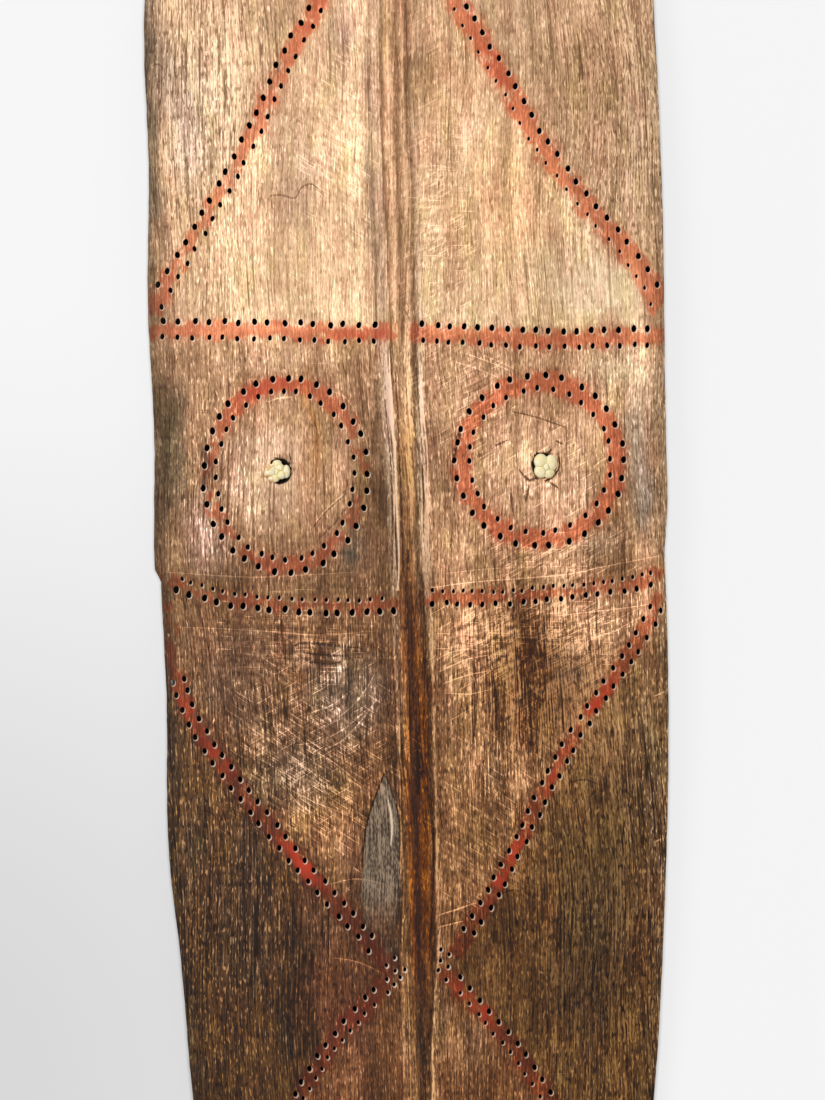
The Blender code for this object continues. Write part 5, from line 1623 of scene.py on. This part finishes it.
def band_faces(bands, count):
    """The faces of bands between closed rings of as many points each."""
    return [(count * k + i, count * k + j, count * k + count + j, count * k + count + i)
            for k in range(bands) for i, j in zip(range(count), (*range(1, count), 0))]


def lofted(name, rings):
    """A closed smooth mesh through rings of equal counts, with a flat lid at both ends."""
    levels, count = rings.shape[:2]
    top = count * (levels - 1)
    lids = [list(range(count))[::-1], list(range(top, top + count))]
    mesh = bpy.data.meshes.new(name)
    mesh.from_pydata(rings.reshape(-1, 3).tolist(), [], band_faces(levels - 1, count) + lids)
    return in_scene(name, smoothed(mesh))


def knot_height(x, y, lobes):
    """Height of the front knot over its foot, and how deep a place lies in the folds between the lobes."""
    heights = []
    for (cx, cy), (rx, ry), rise in lobes:
        away = ((x - cx) / rx) ** 2 + ((y - cy) / ry) ** 2
        heights.append(rise * np.sqrt(np.clip(1 - away, 0, 1)))
    heights = np.sort(heights, axis=0)
    return heights[-1], heights[-1] - heights[-2]


def make_tie(name, tie, lobes):
    """One tie, from the middle of its front knot down its shank to the back knot under the grip."""
    turn = np.arange(KNOT_SIDES) * 2 * np.pi / KNOT_SIDES
    cos, sin = np.cos(turn), np.sin(turn)
    reach = np.linspace(0.0005, 0.012, 400)[:, None]
    inside_lobe = knot_height(reach * cos, reach * sin, lobes)[0] > 0
    outer = np.max(np.where(inside_lobe, reach, 0), axis=0) * 0.985
    surface = surface_at(*tie)
    foot = surface - KNOT_SINK
    rings, folds = [], []
    for share in np.sin(np.linspace(0.02, math.pi / 2, KNOT_RINGS)):
        x, y = share * outer * cos, share * outer * sin
        height, fold = knot_height(x, y, lobes)
        rings.append(np.stack((x, y, foot + height), -1))
        # Painted shade in the folds between the knot's lobes
        folds.append(np.clip(1 - fold / FOLD_WIDTH, 0, 1) * (share < 0.97))
    shank = TIE_BORE / 2 - TIE_CLEARANCE
    outer_x = abs(tie.x) + BACK_KNOT_WIDTH / 2
    grip_low = np.min(grip_top(np.array((math.copysign(outer_x, tie.x), tie.x))))
    behind = grip_low - GRIP_END_THICKNESS - TIE_CLEARANCE
    knot = BACK_KNOT_WIDTH / 2
    levels = [(share * outer, foot - depth) for share, depth in KNOT_NECK]
    levels += [(shank, surface - MOUTH_DEPTH), (shank, behind)]
    for share, drop in BACK_KNOT_PROFILE:
        wraps = 1 - WRAP_DEPTH * (1 - np.abs(np.cos(2 * turn + 2.4 * drop))) ** 2
        levels.append((share * knot * wraps, behind - drop * BACK_KNOT_HEIGHT))
    for radius, level in levels:
        rings.append(np.stack((radius * cos, radius * sin, np.full(KNOT_SIDES, level)), -1))
        folds.append(0.0 * turn)
    rings = np.array(rings) + (tie.x, tie.y, 0)
    thing = lofted(name, rings[::-1])
    set_values(thing.data, "fold", np.array(folds)[::-1].ravel())
    return thing


def grip_wood():
    n = Nodes("grip_wood")
    threads = n.noise((0.040, 0.0016), 2, 0.6)
    mottle = n.noise((0.012, 0.009), 3, 0.6)
    density = n.plus(1.0, (threads, 1.3), (mottle, 1.1))
    colour = n.add("Gamma", {0: (*shade(104, 68, 40), 1), 1: density}).outputs[0]
    return n.finish(colour, n.plus(0.46, (threads, 0.5)), threads, 0.0004)


def cane():
    n = Nodes("cane")
    fibres = n.noise((0.0007, 0.0060), 2, 0.6, turn=0.5)
    mottle = n.noise((0.0030, 0.0030), 2, 0.6)
    # Painted shade: the knot is darker in the folds between its lobes, and near black deep in them
    fold = n.value("fold")
    signal = n.plus(0.0, (fibres, 1.6), (mottle, 1.4), (fold, 1.1))
    colour = n.add("Gamma", {0: (*shade(244, 227, 168), 1), 1: n.plus(0.75, (signal, 0.9))}).outputs[0]
    side = n.parts(n.places)[0]
    brown = n.times(n.step(side, -0.0890, -0.0870, 1.0, 0.0), n.step(mottle, -0.05, 0.10))
    colour = n.mix(n.times(brown, 0.6), colour, (*shade(206, 140, 76), 1))
    colour = n.tint(colour, (0.08, 0.05, 0.02), n.step(fold, 0.62, 0.95))
    return n.finish(colour, 0.55, fibres, 0.0002)


grip = make_grip()
grip.data.materials.append(grip_wood())
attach(grip, "root")
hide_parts("grip_bar")
cane_material = cane()
for side_name, tie_place, lobes in zip(("left", "right"), TIE_PLACES, KNOT_LOBES):
    tie_object = make_tie(f"shield_tie_{side_name}", tie_place, lobes)
    tie_object.data.materials.append(cane_material)
    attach(tie_object, "root")
    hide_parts(f"cane_tie_{side_name}")


# Camera, floor and light

def make_camera():
    camera = in_scene("camera", bpy.data.cameras.new("camera"))
    camera.data.sensor_width = SENSOR_WIDTH
    camera.data.lens = SENSOR_WIDTH * CAMERA_DISTANCE / VIEW_HEIGHT
    camera.location = (*VIEW_CENTRE, CROWN_Z + CAMERA_DISTANCE)
    camera.rotation_euler = (0, 0, VIEW_ROLL)
    bpy.context.scene.camera = camera


def make_key_light():
    """A round area light that points at the origin."""
    light = bpy.data.lights.new("key", "AREA")
    light.shape = "DISK"
    light.size = KEY_SIZE
    light.energy = KEY_POWER
    lamp = in_scene("key", light)
    lamp.location = KEY_PLACE
    lamp.rotation_euler = (-Vector(KEY_PLACE)).to_track_quat("-Z", "Y").to_euler()


def make_floor():
    """A white floor that glows like a light table, as painted light, dimmer to the lower left as a painted
    shadow, and painted dark under the shield for the shadow there.
    """
    outline, inward = board_outline()
    outside = outline + FLOOR_REACH * outline / np.hypot(*outline.T)[:, None]
    rings = [outline + inward * inset for inset in FLOOR_SHADOW_BORDER] + [outside]
    count = len(outline)
    faces = [tuple(range(count)), *band_faces(len(rings) - 1, count)]
    mesh = bpy.data.meshes.new("floor")
    places = np.concatenate(rings)
    mesh.from_pydata(np.column_stack((places, np.zeros(len(places)))).tolist(), [], faces)
    set_values(mesh, "lit", np.repeat((0.0, 1.0, 1.0), count))
    floor = in_scene("floor", mesh)
    n = Nodes("floor")
    # Painted light: the glow is dimmer towards the lower left, a painted shadow there
    away = n.vector("LENGTH", n.vector("ADD", n.places, (0.36, 0.40, 0))[0])["Value"]
    lit = n.value("lit")
    glow = n.times(n.step(away, 0.05, 0.55, 0.56, 0.79), lit)
    # Painted shadow: under the shield the floor is near black and has no glow
    n.set("Base Color", n.mix(lit, (0.01, 0.01, 0.01, 1), (0.13, 0.13, 0.13, 1)))
    n.set("Roughness", 0.9)
    n.set("Specular IOR Level", 0.0)
    n.set("Emission Color", (1, 1, 1, 1))
    n.set("Emission Strength", glow)
    mesh.materials.append(n.material)


make_camera()
make_floor()
make_key_light()
world = bpy.data.worlds.new("studio")
world.use_nodes = True
background = world.node_tree.nodes["Background"]
background.inputs["Color"].default_value = (1, 1, 1, 1)
background.inputs["Strength"].default_value = WORLD_STRENGTH
bpy.context.scene.world = world
bpy.context.scene.view_settings.view_transform = "Standard"
